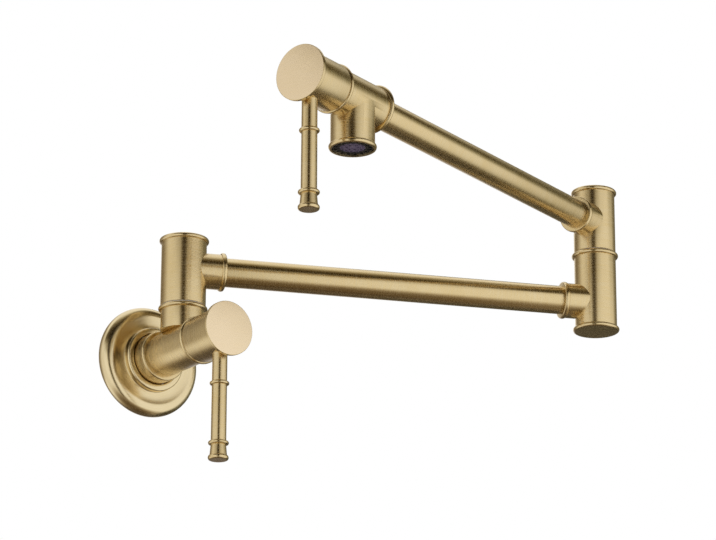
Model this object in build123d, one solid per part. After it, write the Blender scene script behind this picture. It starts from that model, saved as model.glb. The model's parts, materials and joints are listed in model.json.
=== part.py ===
from build123d import *
import math
import os

# A wall mounted pot filler. A quarter-turn valve stands on the wall under a
# domed flange and carries a swivel column, the shoulder. Arm 1 swings on the
# shoulder, arm 2 swings on the elbow at its far end, and a second quarter-turn
# valve with the spout under it closes arm 2.
# Millimetres, +Z up. The wall is the plane y = 0, the inlet's axis is the line
# x = z = 0 and the filler reaches out along -Y.

# --- Layout: the distances between the axes ---------------------------------
SHOULDER_REACH = 46.0  # wall to the shoulder's swivel axis
ARM_1_LENGTH = 272.0  # shoulder axis to elbow axis
ARM_2_LENGTH = 272.0  # elbow axis to spout axis
ARM_1_HEIGHT = 51.7  # inlet axis up to arm 1's axis
ARM_2_RISE = 54.5  # arm 1's axis up to arm 2's axis
ARM_1_HEADING = -22.1  # degrees from +X, with the arms folded as at rest
ARM_2_HEADING = 198.5  # degrees from +X, the same pose

# --- Fits -------------------------------------------------------------------
RUNNING_FIT = 0.08  # radial gap of a shaft that turns in its bore
PUSH_FIT = 0.03  # radial gap of a piece held still in its bore
PASSING_GAP = 0.3  # gap between faces that move past each other
AXIAL_PLAY = 0.1  # end play of a captured turning piece
FREE_GAP = 0.5  # room round a hidden piece that touches nothing there

# --- Beads: the half-round rings that trim every joint -----------------------
BEAD_WIDTH = 2.9
ARM_BEAD_WIDTH = 3.0

# --- Valve barrel, the same at the wall and over the spout -------------------
BARREL_R = 13.5
BARREL_BEAD_R = 15.3
SEAM_REACH = 21.9  # tee axis to the seam between barrel and lever hub
SEAT_DEPTH = 10.0  # tee axis back to the seat that the valve closes on
WATERWAY_R = 5.5
CHAMBER_R = 9.5
NUT_THREAD_R = 11.0
NUT_STEP_REACH = 14.0  # tee axis to the step that the cartridge hangs on

# --- Wall side of the lower valve --------------------------------------------
INLET_THREAD_R = 9.3155  # minor radius of a G 1/2 pipe thread
INLET_THREAD_DEPTH = 15.0
SLEEVE_R = 16.0  # the thicker end of the barrel, which the flange slides on
SLEEVE_LENGTH = 25.5
SLEEVE_ROUNDING = 1.1

# --- Wall flange and its seals -----------------------------------------------
FLANGE_RIM_R = 35.5  # greatest radius
FLANGE_RIM_ROUND = 6.1  # radius of the rolled rim's section
FLANGE_RIM_REACH = 6.5  # wall to the centre of that section
FLANGE_DIP_REACH = 12.1  # wall to the shallow dip at the foot of the boss
FLANGE_BOSS_R = 20.7
FLANGE_BOSS_HEIGHT = 16.4
FLANGE_BOSS_ROUNDING = 1.4
FLANGE_HOLE_ROUNDING = 1.2
FLANGE_WALL = 2.2
FLANGE_FOOT_WIDTH = 2.8  # flat edge round the back, which the gasket seals
GASKET_THICKNESS = 1.0
FLANGE_RING_CORD_R = 1.1  # section radius of the ring that grips the sleeve
FLANGE_RING_REACH = 12.2

# --- Shoulder and elbow columns ----------------------------------------------
STUB_R = 13.8  # the fixed tee under the shoulder
STUB_FOOT = 10.8  # inlet axis up to that tee's flat underside, on the barrel's back
SHOULDER_R = 14.3
SHOULDER_RING_R = 15.5
SHOULDER_RING_HEIGHT = 25.2  # inlet axis up to the swivel ring's middle
SHOULDER_RISE = 19.9  # arm 1's axis up to the top of the column
SHOULDER_BEAD_R = 15.7
ELBOW_R = 13.5
ELBOW_RING_R = 15.1
ELBOW_RING_DROP = 22.9  # arm 2's axis down to the swivel ring's middle
ELBOW_RISE = 22.0
ELBOW_BEAD_R = 14.8
ELBOW_BASE_DROP = 19.7  # arm 1's axis down to the flat base of the elbow
ELBOW_BASE_BEAD_R = 15.0
ELBOW_CHAMBER_R = 9.5
ELBOW_CHAMBER_CEILING = 3.0  # metal between the chamber and the post's foot
ELBOW_PLUG_DEPTH = 8.0
ELBOW_PLUG_WALL = 2.0

# --- Swivel joint, the same inside both columns -------------------------------
POST_R = 10.4
POST_BORE_R = 5.0
POST_FOOT_R = 8.4  # the threaded foot that holds the post in its column
POST_FOOT_LENGTH = 9.0
POST_TOP = 12.8  # arm axis up to the top of the post
PORT_R = 3.2
GALLERY_DEPTH = 0.9  # groove inside the sleeve that joins the ports to the arm
GALLERY_HEIGHT = 11.0
SEAL_SPACING = 8.6  # arm axis to each O-ring, above and below
SEAL_CORD_R = 0.85
RETAINER_R = 11.5
RETAINER_THICKNESS = 1.4
RETAINER_SCREW_R = 2.5
RETAINER_SCREW_LENGTH = 6.0
RETAINER_HEAD_R = 4.8
RETAINER_HEAD_HEIGHT = 2.2
CAP_THICKNESS = 1.3
CAP_SPIGOT_WALL = 2.2
THRUST_WASHER_THICKNESS = 0.5

# --- Arms ---------------------------------------------------------------------
ARM_TUBE_R = 9.15
ARM_TUBE_WALL = 1.2
SOCKET_R = 11.3  # the collars that the tubes are brazed into
SOCKET_FLOOR = 12.4  # column axis to the end of the tube
SHOULDER_SOCKET_REACH = 25.9
SHOULDER_SOCKET_BEAD_R = 12.3
ELBOW_SOCKET_REACH = 23.7
ELBOW_SOCKET_BEAD_R = 12.0

# --- Spout end ------------------------------------------------------------------
REAR_BEAD_R = 15.2
REAR_REACH = 22.4  # tee axis back to the end that arm 2 enters
SEAT_WALL = 2.4  # metal between the valve's seat and the end of arm 2's tube
SPOUT_R = 13.2
SPOUT_DROP = 31.7  # arm 2's axis down to the spout's rim
SPOUT_BEAD_R = 14.3
AERATOR_THREAD_R = 11.0
AERATOR_RECESS = 0.8  # rim down to the aerator's face
AERATOR_LENGTH = 9.0
AERATOR_WALL = 1.6
AERATOR_NOTCHES = 16
AERATOR_NOTCH_WIDTH = 1.7
AERATOR_NOTCH_DEPTH = 1.2
SCREEN_THICKNESS = 1.6
SCREEN_RECESS = 0.6
DIFFUSER_THICKNESS = 2.0
JET_HOLE_R = 1.0
JET_COUNTS = (6, 12)  # holes on each ring, from the middle outward
JET_RING_RADII = (3.6, 6.4)
AERATOR_WASHER_THICKNESS = 1.8
AERATOR_WASHER_WIDTH = 2.6

# --- Quarter-turn cartridge -------------------------------------------------------
CARTRIDGE_R = 8.9
CARTRIDGE_WALL = 1.2
CARTRIDGE_FLANGE_R = 10.5
CARTRIDGE_FLANGE_THICKNESS = 2.0
CARTRIDGE_NECK_R = 6.8
CARTRIDGE_NECK_REACH = 29.0
CARTRIDGE_CAVITY_REACH = 8.0
WINDOW_R = 2.6
WINDOW_REACH = 2.2
NUT_HEX_FLATS = 19.5
NUT_HEX_HEIGHT = 4.2
SEAT_SEAL_LENGTH = 1.7
DISC_THICKNESS = 2.4
DISC_PORT_R = 2.3
DISC_PORT_OFFSET = 4.0
DRIVE_KEY_WIDTH = 2.4
DRIVE_KEY_DEPTH = 1.0
STEM_R = 4.3
STEM_DRIVER_R = 5.4
STEM_DRIVER_THICKNESS = 1.8
STEM_SEAL_REACH = 21.0
STEM_SEAL_CORD_R = 0.6
STEM_SQUARE = 6.0
STEM_SQUARE_REACH = 31.0

# --- Lever --------------------------------------------------------------------------
HUB_R = 14.65
HUB_CAVITY_R = 11.8
HUB_WEB_REACH = 32.0  # tee axis to the web that carries stem and rod
KNOB_R = 17.2
KNOB_THICKNESS = 2.3
KNOB_EDGE = 0.35
KNOB_REACH = 52.7  # tee axis to the knob's flat face
KNOB_SPIGOT_R = 12.0
KNOB_SPIGOT_LENGTH = 2.0
KNOB_SPIGOT_WALL = 3.0
ROD_SETBACK = 9.75  # knob face back to the rod's axis
ROD_R = 4.6
ROD_END_R = 4.75
ROD_TAIL_R = 3.4
ROD_TAIL_TOP = 7.0
ROD_SEAT = 12.9
ROD_RING_DROP = 33.2
ROD_RING_R = 6.05
ROD_RING_WIDTH = 2.4
ROD_SECOND_RING_DROP = 71.0
ROD_SECOND_RING_R = 6.4
ROD_SECOND_RING_WIDTH = 2.6
ROD_TIP_R = 5.2
ROD_TIP_FLARE = 5.45
ROD_RIM_R = 6.4
ROD_RIM_WIDTH = 2.9
ROD_LENGTH = 81.7  # barrel axis down to the rod's end
HANDLE_SCREW_CLEARANCE = 2.1  # knob's recess down to the screw's head
HANDLE_SCREW_WEB = 3.3  # metal between the screw's seat and the stem's end
HANDLE_SCREW_R = 2.0
HANDLE_SCREW_LENGTH = 11.0
HANDLE_SCREW_HEAD_R = 4.2
HANDLE_SCREW_HEAD_HEIGHT = 4.0
SCREW_SOCKET_SHARE = 0.5  # hexagon socket's width across corners, of the head

# --- Worked out from the sizes above ---------------------------------------------
SLEEVE_BORE_R = POST_R + RUNNING_FIT
GALLERY_R = SLEEVE_BORE_R + GALLERY_DEPTH
HUB_BACK = SEAM_REACH + PASSING_GAP
KNOB_BACK = KNOB_REACH - KNOB_THICKNESS
KNOB_RECESS = KNOB_BACK - KNOB_SPIGOT_LENGTH
HANDLE_SCREW_SEAT = KNOB_RECESS - HANDLE_SCREW_CLEARANCE - HANDLE_SCREW_HEAD_HEIGHT
STEM_REACH = HANDLE_SCREW_SEAT - HANDLE_SCREW_WEB
ROD_REACH = KNOB_REACH - ROD_SETBACK
CAVITY_R = CARTRIDGE_R - CARTRIDGE_WALL
DISC_R = CAVITY_R - RUNNING_FIT
FIXED_DISC_BACK = SEAT_SEAL_LENGTH - SEAT_DEPTH
MOVING_DISC_BACK = FIXED_DISC_BACK + DISC_THICKNESS
DRIVER_BACK = MOVING_DISC_BACK + DISC_THICKNESS
ARM_2_HEIGHT = ARM_1_HEIGHT + ARM_2_RISE
STUB_TOP = SHOULDER_RING_HEIGHT + BEAD_WIDTH / 2
SHOULDER_STUB = STUB_TOP - ARM_1_HEIGHT
ELBOW_STUB = BEAD_WIDTH / 2 - ELBOW_RING_DROP
COUNTERBORE_R = RETAINER_R + PASSING_GAP
SPOUT_SOCKET_FLOOR = SEAT_DEPTH + SEAT_WALL
AERATOR_FACE = SPOUT_DROP - AERATOR_RECESS
AERATOR_TOP = AERATOR_FACE - AERATOR_LENGTH
AERATOR_SEAT = AERATOR_TOP - AERATOR_WASHER_THICKNESS
AERATOR_R = AERATOR_THREAD_R - PUSH_FIT
AERATOR_BORE_R = AERATOR_R - AERATOR_WALL


def heading(degrees):
    """The horizontal direction at an angle from +X."""
    angle = math.radians(degrees)
    return Vector(math.cos(angle), math.sin(angle), 0)


ARM_1_DIRECTION = heading(ARM_1_HEADING)
ARM_2_DIRECTION = heading(ARM_2_HEADING)
TOWARD_ROOM = Vector(0, -1, 0)
UP = Vector(0, 0, 1)
SHOULDER = Vector(0, -SHOULDER_REACH, ARM_1_HEIGHT)
ELBOW_LOW = SHOULDER + ARM_1_DIRECTION * ARM_1_LENGTH
ELBOW_HIGH = ELBOW_LOW + UP * ARM_2_RISE
SPOUT = ELBOW_HIGH + ARM_2_DIRECTION * ARM_2_LENGTH
LOWER_VALVE = Plane(origin=(0, -SHOULDER_REACH, 0), x_dir=UP, z_dir=TOWARD_ROOM)
UPPER_VALVE = Plane(origin=SPOUT, x_dir=UP, z_dir=ARM_2_DIRECTION)
DOWN_FROM_VALVE = Plane(origin=(0, 0, 0), x_dir=(0, 1, 0), z_dir=(-1, 0, 0))
UP_FROM_VALVE = Plane(origin=(0, 0, 0), x_dir=(0, 1, 0), z_dir=(1, 0, 0))


# --- Shapes that repeat ---------------------------------------------------------


def turned(*corners):
    """A solid turned about Z from (radius, height) or (radius, height, rounding)."""
    points = [(corner[0], corner[1]) for corner in corners]
    roundings = [corner[2] if len(corner) == 3 else 0 for corner in corners]
    outline = FilletPolyline(*points, radius=roundings, close=True)
    return revolve(Plane.XZ * make_face(outline), Axis.Z)


def rod(radius, start, end):
    """A plain round bar along Z between two heights."""
    return Pos(0, 0, start) * Cylinder(radius, end - start, align=(Align.CENTER, Align.CENTER, Align.MIN))


def ring(inner, outer, start, end):
    """A flat ring or short tube about Z."""
    return turned((inner, start), (outer, start), (outer, end), (inner, end))


def bead(core, radius, start, width=BEAD_WIDTH):
    """A solid half-round bead on a core, from one height upward."""
    middle = (core, start + width / 2)
    crown = EllipticalCenterArc(middle, radius - core, width / 2, start_angle=-90, arc_size=180)
    back = Polyline(crown @ 1, (0, start + width), (0, start), crown @ 0)
    return revolve(Plane.XZ * make_face([*crown.edges(), *back.edges()]), Axis.Z)


def o_ring(inner, cord_radius, height):
    """A round-section sealing ring about Z, given the radius that it sits on."""
    return Pos(0, 0, height) * Torus(inner + cord_radius, cord_radius)


def prism(across_flats, sides, start, end):
    """A regular bar about Z, between two heights."""
    profile = RegularPolygon(across_flats / 2, sides, major_radius=False)
    return Pos(0, 0, start) * extrude(profile, end - start)


def cap_screw(shank_r, length, head_r, head_height, seat):
    """A socket-head screw about Z whose head stands on a seat at one height."""
    shank = rod(shank_r, seat - length, seat)
    head = turned(
        (0, seat),
        (head_r, seat),
        (head_r, seat + head_height, head_r / 8),
        (0, seat + head_height),
    )
    socket_flats = 2 * head_r * SCREW_SOCKET_SHARE
    socket = prism(socket_flats, 6, seat + head_height / 3, seat + head_height)
    return shank + head - socket


def arm_frame(origin, direction):
    """A frame at an axis with its Z along an arm."""
    return Plane(origin=origin, x_dir=UP, z_dir=direction)


def socket_collar(reach, bead_r):
    """The collar that an arm tube is brazed into, along Z from a column's axis."""
    bead_start = reach - ARM_BEAD_WIDTH
    return rod(SOCKET_R, 0, reach) + bead(SOCKET_R, bead_r, bead_start, ARM_BEAD_WIDTH)


def socket_bore(reach):
    """What is bored out of a column and its collar for the tube and the water."""
    tube_seat = rod(ARM_TUBE_R + PUSH_FIT, SOCKET_FLOOR, reach)
    return tube_seat + rod(POST_BORE_R, 0, SOCKET_FLOOR)


# --- Wall flange ------------------------------------------------------------------


def flange_rim():
    """The rolled rim's arcs, outside and inside, from the foot over the top."""
    centre = (FLANGE_RIM_R - FLANGE_RIM_ROUND, FLANGE_RIM_REACH)
    drop = math.degrees(math.asin((FLANGE_RIM_REACH - GASKET_THICKNESS) / FLANGE_RIM_ROUND))
    over_the_top = 100
    further_in = 15
    outside = CenterArc(centre, FLANGE_RIM_ROUND, -drop, drop + over_the_top)
    inside_drop = drop + further_in
    inside_round = FLANGE_RIM_ROUND - FLANGE_WALL
    inside = CenterArc(centre, inside_round, -inside_drop, inside_drop + over_the_top)
    return outside, inside


def flange_section():
    """Half the flange's section: a rolled rim, a shallow dip and a raised boss."""
    outside, inside = flange_rim()
    hole = SLEEVE_R + PASSING_GAP
    dip_under = FLANGE_DIP_REACH - FLANGE_WALL
    dip = Spline(outside @ 1, (FLANGE_BOSS_R, FLANGE_DIP_REACH), tangents=(outside % 1, (-1, 0.15)))
    boss = FilletPolyline(
        (FLANGE_BOSS_R, FLANGE_DIP_REACH),
        (FLANGE_BOSS_R, FLANGE_BOSS_HEIGHT),
        (hole, FLANGE_BOSS_HEIGHT),
        (hole, dip_under),
        (FLANGE_BOSS_R, dip_under),
        radius=(FLANGE_BOSS_ROUNDING, FLANGE_HOLE_ROUNDING, 0),
    )
    dip_inside = Spline(inside @ 1, (FLANGE_BOSS_R, dip_under), tangents=(inside % 1, (-1, 0)))
    foot = Polyline(outside @ 0, (foot_inner_r(), GASKET_THICKNESS), inside @ 0)
    return make_face([*outside.edges(), *dip.edges(), *boss.edges(), *dip_inside.edges(),
                      *inside.edges(), *foot.edges()])


def foot_outer_r():
    outside, _ = flange_rim()
    return (outside @ 0).X


def foot_inner_r():
    return foot_outer_r() - FLANGE_FOOT_WIDTH


def wall_flange():
    flange = revolve(Plane.XZ * flange_section(), Axis.Z)
    half = FLANGE_RING_CORD_R + PASSING_GAP / 2
    groove_r = SLEEVE_R + PUSH_FIT + 2 * FLANGE_RING_CORD_R + PUSH_FIT
    flange -= ring(SLEEVE_R, groove_r, FLANGE_RING_REACH - half, FLANGE_RING_REACH + half)
    return flange


def flange_gasket():
    return ring(foot_inner_r(), foot_outer_r() - PASSING_GAP, 0, GASKET_THICKNESS)


def flange_o_ring():
    return o_ring(SLEEVE_R + PUSH_FIT, FLANGE_RING_CORD_R, FLANGE_RING_REACH)


# --- Valve barrels ------------------------------------------------------------------
# Built with the barrel's axis along Z, the tee axis at zero and the room side up.


def valve_bore():
    """The chamber that takes the cartridge and the thread of its nut."""
    chamber = rod(CHAMBER_R, -SEAT_DEPTH, NUT_STEP_REACH)
    return chamber + rod(NUT_THREAD_R, NUT_STEP_REACH, SEAM_REACH)


def post_foot_bore(stub_top):
    """The threaded hole for a swivel post's foot, below the stub's top face."""
    return rod(POST_FOOT_R + PUSH_FIT, stub_top - POST_FOOT_LENGTH - FREE_GAP, stub_top)


def inlet_body():
    """The lower valve's barrel, with the wall thread and the stub of the shoulder."""
    back = -SHOULDER_REACH
    sleeve_end = back + SLEEVE_LENGTH
    body = turned(
        (0, back),
        (SLEEVE_R, back),
        (SLEEVE_R, sleeve_end, SLEEVE_ROUNDING),
        (BARREL_R, sleeve_end),
        (BARREL_R, SEAM_REACH),
        (0, SEAM_REACH),
    )
    body += bead(BARREL_R, BARREL_BEAD_R, SEAM_REACH - BEAD_WIDTH)
    stub = rod(STUB_R, STUB_FOOT, STUB_TOP)
    stub += bead(STUB_R, SHOULDER_RING_R, STUB_TOP - BEAD_WIDTH)
    body += UP_FROM_VALVE * stub
    body -= valve_bore()
    body -= rod(WATERWAY_R, back, 0)
    body -= rod(INLET_THREAD_R, back, back + INLET_THREAD_DEPTH)
    body -= UP_FROM_VALVE * (rod(WATERWAY_R, 0, STUB_TOP) + post_foot_bore(STUB_TOP))
    return body


def spout_body():
    """The upper valve's barrel, with arm 2's socket behind and the spout below."""
    body = rod(BARREL_R, -REAR_REACH, SEAM_REACH)
    body += bead(BARREL_R, REAR_BEAD_R, -REAR_REACH)
    body += bead(BARREL_R, BARREL_BEAD_R, SEAM_REACH - BEAD_WIDTH)
    spout = rod(SPOUT_R, 0, SPOUT_DROP)
    spout += bead(SPOUT_R, SPOUT_BEAD_R, SPOUT_DROP - BEAD_WIDTH)
    body += DOWN_FROM_VALVE * spout
    body -= valve_bore()
    body -= rod(WATERWAY_R, -SPOUT_SOCKET_FLOOR, 0)
    body -= rod(ARM_TUBE_R + PUSH_FIT, -REAR_REACH, -SPOUT_SOCKET_FLOOR)
    outlet = rod(WATERWAY_R, 0, SPOUT_DROP) + rod(AERATOR_THREAD_R, AERATOR_SEAT, SPOUT_DROP)
    body -= DOWN_FROM_VALVE * outlet
    return body


# --- Quarter-turn cartridge ------------------------------------------------------------


def cartridge_body():
    """The brass cup that holds the discs and guides the stem."""
    back = PASSING_GAP - SEAT_DEPTH
    stem_bore_r = STEM_R + RUNNING_FIT
    flange_top = NUT_STEP_REACH + CARTRIDGE_FLANGE_THICKNESS
    body = turned(
        (CAVITY_R, back),
        (CARTRIDGE_R, back),
        (CARTRIDGE_R, NUT_STEP_REACH),
        (CARTRIDGE_FLANGE_R, NUT_STEP_REACH),
        (CARTRIDGE_FLANGE_R, flange_top),
        (CARTRIDGE_NECK_R, flange_top),
        (CARTRIDGE_NECK_R, CARTRIDGE_NECK_REACH),
        (stem_bore_r, CARTRIDGE_NECK_REACH),
        (stem_bore_r, CARTRIDGE_CAVITY_REACH),
        (CAVITY_R, CARTRIDGE_CAVITY_REACH),
    )
    window = Cylinder(WINDOW_R, 3 * CARTRIDGE_R)
    for tilt in ((90, 0, 0), (0, 90, 0)):
        body -= Pos(0, 0, WINDOW_REACH) * Rot(*tilt) * window
    return body


def cartridge_nut():
    """The threaded nut that clamps the cartridge, with its hexagon in the hub."""
    flange_top = NUT_STEP_REACH + CARTRIDGE_FLANGE_THICKNESS
    nut = rod(NUT_THREAD_R - PUSH_FIT, flange_top, SEAM_REACH)
    nut += prism(NUT_HEX_FLATS, 6, SEAM_REACH, SEAM_REACH + NUT_HEX_HEIGHT)
    return nut - rod(CARTRIDGE_NECK_R + PUSH_FIT, flange_top, SEAM_REACH + NUT_HEX_HEIGHT)


def seat_seal():
    return ring(WATERWAY_R, DISC_R, -SEAT_DEPTH, FIXED_DISC_BACK)


def ceramic_disc(back, port_angle):
    """A ceramic disc with two ports on one diameter."""
    disc = rod(DISC_R, back, back + DISC_THICKNESS)
    port = Pos(DISC_PORT_OFFSET, 0, 0) * rod(DISC_PORT_R, back, back + DISC_THICKNESS)
    for angle in (port_angle, port_angle + 180):
        disc -= Rot(0, 0, angle) * port
    return disc


def drive_bar(width, length, start, end):
    """A flat bar across the axis, rounded at its ends to a radius."""
    bar = Box(2 * length, width, end - start, align=(Align.CENTER, Align.CENTER, Align.MIN))
    return Pos(0, 0, start) * bar & rod(length, start, end)


def moving_disc():
    """The disc that the stem turns: shut with its ports across the fixed ones."""
    slot_floor = DRIVER_BACK - DRIVE_KEY_DEPTH
    slot = drive_bar(DRIVE_KEY_WIDTH, DISC_R + FREE_GAP, slot_floor, DRIVER_BACK)
    return ceramic_disc(MOVING_DISC_BACK, 90) - slot


def valve_stem():
    """The stem, with its driving bar behind and its square in the lever's hub."""
    driver_top = DRIVER_BACK + STEM_DRIVER_THICKNESS
    key_width = DRIVE_KEY_WIDTH - 2 * PUSH_FIT
    stem = drive_bar(key_width, STEM_DRIVER_R, DRIVER_BACK - DRIVE_KEY_DEPTH, driver_top)
    stem += rod(STEM_R, driver_top, STEM_SQUARE_REACH)
    stem += prism(STEM_SQUARE, 4, STEM_SQUARE_REACH, STEM_REACH)
    half = STEM_SEAL_CORD_R + PUSH_FIT
    groove_r = STEM_R - 2 * STEM_SEAL_CORD_R - PUSH_FIT
    stem -= ring(groove_r, STEM_R + 1, STEM_SEAL_REACH - half, STEM_SEAL_REACH + half)
    tapped_floor = HANDLE_SCREW_SEAT - HANDLE_SCREW_LENGTH - FREE_GAP
    return stem - rod(HANDLE_SCREW_R, tapped_floor, STEM_REACH)


def stem_o_ring():
    return o_ring(STEM_R - 2 * STEM_SEAL_CORD_R, STEM_SEAL_CORD_R, STEM_SEAL_REACH)


# --- Lever --------------------------------------------------------------------------------

ROD_FRAME = Plane(origin=(0, 0, ROD_REACH), x_dir=(0, 1, 0), z_dir=(-1, 0, 0))


def lever_hub():
    """The hub over the nut and the stem, drilled from below for the lever's rod."""
    hub = turned(
        (HUB_CAVITY_R, HUB_BACK),
        (HUB_R, HUB_BACK),
        (HUB_R, KNOB_BACK),
        (KNOB_SPIGOT_R, KNOB_BACK),
        (KNOB_SPIGOT_R, KNOB_RECESS),
        (0, KNOB_RECESS),
        (0, HUB_WEB_REACH),
        (HUB_CAVITY_R, HUB_WEB_REACH),
    )
    square = STEM_SQUARE + 2 * PUSH_FIT
    hub -= prism(square, 4, HUB_WEB_REACH, STEM_REACH + PASSING_GAP)
    hub -= rod(HANDLE_SCREW_R + RUNNING_FIT, HUB_WEB_REACH, HANDLE_SCREW_SEAT)
    hub -= rod(HANDLE_SCREW_HEAD_R + PASSING_GAP, HANDLE_SCREW_SEAT, KNOB_RECESS)
    tail_hole = rod(ROD_TAIL_R + PUSH_FIT, ROD_TAIL_TOP - FREE_GAP, HUB_R)
    rod_seat = rod(ROD_R + PUSH_FIT, ROD_SEAT, HUB_R + 1)
    return hub - ROD_FRAME * (tail_hole + rod_seat)


def lever_knob():
    """The flat round cap that closes the front of the hub."""
    spigot_r = KNOB_SPIGOT_R - PUSH_FIT
    spigot_back = KNOB_RECESS + PUSH_FIT
    spigot_inner = spigot_r - KNOB_SPIGOT_WALL
    return turned(
        (0, KNOB_BACK),
        (spigot_inner, KNOB_BACK),
        (spigot_inner, spigot_back),
        (spigot_r, spigot_back),
        (spigot_r, KNOB_BACK),
        (KNOB_R, KNOB_BACK, KNOB_EDGE),
        (KNOB_R, KNOB_REACH, KNOB_EDGE),
        (0, KNOB_REACH),
    )


def lever_rod():
    """The hanging rod: a threaded tail, two rings and a flared, rimmed end."""
    grip = turned(
        (0, ROD_TAIL_TOP),
        (ROD_TAIL_R, ROD_TAIL_TOP),
        (ROD_TAIL_R, ROD_SEAT),
        (ROD_R, ROD_SEAT),
        (ROD_END_R, ROD_SECOND_RING_DROP),
        (ROD_TIP_R, ROD_SECOND_RING_DROP),
        (ROD_TIP_FLARE, ROD_LENGTH),
        (0, ROD_LENGTH),
    )
    first_start = ROD_RING_DROP - ROD_RING_WIDTH / 2
    second_start = ROD_SECOND_RING_DROP - ROD_SECOND_RING_WIDTH / 2
    grip += bead(ROD_R, ROD_RING_R, first_start, ROD_RING_WIDTH)
    grip += bead(ROD_R, ROD_SECOND_RING_R, second_start, ROD_SECOND_RING_WIDTH)
    grip += bead(ROD_TIP_R, ROD_RIM_R, ROD_LENGTH - ROD_RIM_WIDTH, ROD_RIM_WIDTH)
    return ROD_FRAME * grip


def handle_screw():
    return cap_screw(
        HANDLE_SCREW_R - PUSH_FIT,
        HANDLE_SCREW_LENGTH,
        HANDLE_SCREW_HEAD_R,
        HANDLE_SCREW_HEAD_HEIGHT,
        HANDLE_SCREW_SEAT,
    )


# --- Swivel joint -----------------------------------------------------------------------
# Built with the column's axis along Z and the swinging arm's axis at zero.


def swivel_post(stub_top):
    """The hollow post: foot below, four ports at the arm, a groove on each side."""
    post = turned(
        (0, stub_top - POST_FOOT_LENGTH),
        (POST_FOOT_R, stub_top - POST_FOOT_LENGTH),
        (POST_FOOT_R, stub_top),
        (POST_R, stub_top),
        (POST_R, POST_TOP),
        (0, POST_TOP),
    )
    post -= rod(POST_BORE_R, stub_top - POST_FOOT_LENGTH, PORT_R + FREE_GAP)
    for tilt in ((90, 0, 0), (0, 90, 0)):
        post -= Rot(*tilt) * Cylinder(PORT_R, 3 * POST_R)
    groove_r = POST_R - 2 * SEAL_CORD_R - PUSH_FIT
    half = SEAL_CORD_R + PASSING_GAP / 2
    for height in (-SEAL_SPACING, SEAL_SPACING):
        post -= ring(groove_r, POST_R + 1, height - half, height + half)
    return post - rod(RETAINER_SCREW_R, POST_TOP - RETAINER_SCREW_LENGTH, POST_TOP)


def post_seal(height):
    return o_ring(POST_R - 2 * SEAL_CORD_R, SEAL_CORD_R, height)


def thrust_washer(stub_top, column_r):
    """The plastic washer that the swinging column rests on."""
    return ring(POST_R + PUSH_FIT, column_r - FREE_GAP, stub_top, stub_top + THRUST_WASHER_THICKNESS)


def retaining_washer():
    """The washer on top of the post that keeps the column on it."""
    top = POST_TOP + RETAINER_THICKNESS
    return ring(RETAINER_SCREW_R + PUSH_FIT, RETAINER_R, POST_TOP, top)


def retaining_screw():
    grip = RETAINER_THICKNESS + RETAINER_SCREW_LENGTH - FREE_GAP
    return cap_screw(
        RETAINER_SCREW_R - PUSH_FIT,
        grip,
        RETAINER_HEAD_R,
        RETAINER_HEAD_HEIGHT,
        POST_TOP + RETAINER_THICKNESS,
    )


def swivel_sleeve(stub_top, column_r, rise, direction, socket_reach, socket_bead_r):
    """The swinging column, with its water gallery and the collar of its arm."""
    bottom = stub_top + THRUST_WASHER_THICKNESS + AXIAL_PLAY / 2
    top = rise - BEAD_WIDTH
    step = POST_TOP - AXIAL_PLAY / 2
    arm = arm_frame((0, 0, 0), direction)
    sleeve = rod(column_r, bottom, top) + arm * socket_collar(socket_reach, socket_bead_r)
    sleeve -= rod(SLEEVE_BORE_R, bottom, step)
    sleeve -= rod(COUNTERBORE_R, step, top)
    sleeve -= rod(GALLERY_R, -GALLERY_HEIGHT / 2, GALLERY_HEIGHT / 2)
    return sleeve - arm * socket_bore(socket_reach)


def column_cap(column_r, rise, bead_r):
    """The beaded cap that is pushed into the top of a column."""
    spigot_r = COUNTERBORE_R - PUSH_FIT
    spigot_inner = spigot_r - CAP_SPIGOT_WALL
    spigot_bottom = POST_TOP + RETAINER_THICKNESS + FREE_GAP
    under = rise - BEAD_WIDTH
    pocket = rise - CAP_THICKNESS
    cap = rod(spigot_r, spigot_bottom, rise) + bead(column_r, bead_r, under)
    return cap - rod(spigot_inner, spigot_bottom, pocket)


# --- Elbow's lower half, on the end of arm 1 ---------------------------------------------


def elbow_housing():
    """The closed column under the elbow, with arm 1's collar on its side."""
    bottom = BEAD_WIDTH - ELBOW_BASE_DROP
    top = ARM_2_RISE + ELBOW_STUB
    arm = arm_frame((0, 0, 0), -ARM_1_DIRECTION)
    housing = rod(ELBOW_R, bottom, top) + bead(ELBOW_R, ELBOW_RING_R, top - BEAD_WIDTH)
    housing += arm * socket_collar(ELBOW_SOCKET_REACH, ELBOW_SOCKET_BEAD_R)
    chamber_top = top - POST_FOOT_LENGTH - ELBOW_CHAMBER_CEILING
    housing -= rod(ELBOW_CHAMBER_R, bottom, chamber_top)
    housing -= rod(WATERWAY_R, chamber_top, top) + post_foot_bore(top)
    return housing - arm * socket_bore(ELBOW_SOCKET_REACH)


def elbow_plug():
    """The beaded plug that closes the bottom of the elbow."""
    plug_r = ELBOW_CHAMBER_R - PUSH_FIT
    shelf = BEAD_WIDTH - ELBOW_BASE_DROP
    plug_top = shelf + ELBOW_PLUG_DEPTH
    plug = rod(plug_r, -ELBOW_BASE_DROP, plug_top)
    plug += bead(ELBOW_R, ELBOW_BASE_BEAD_R, -ELBOW_BASE_DROP)
    return plug - rod(plug_r - ELBOW_PLUG_WALL, shelf, plug_top)


# --- Arms ------------------------------------------------------------------------------------


def arm_tube(length, far_floor):
    """A straight tube along Z from one socket's floor to the other's."""
    start = SOCKET_FLOOR + PUSH_FIT
    end = length - far_floor - PUSH_FIT
    return ring(ARM_TUBE_R - ARM_TUBE_WALL, ARM_TUBE_R, start, end)


# --- Aerator ------------------------------------------------------------------------------------
# Built with the spout's axis along Z, pointing down, and arm 2's axis at zero.


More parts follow.
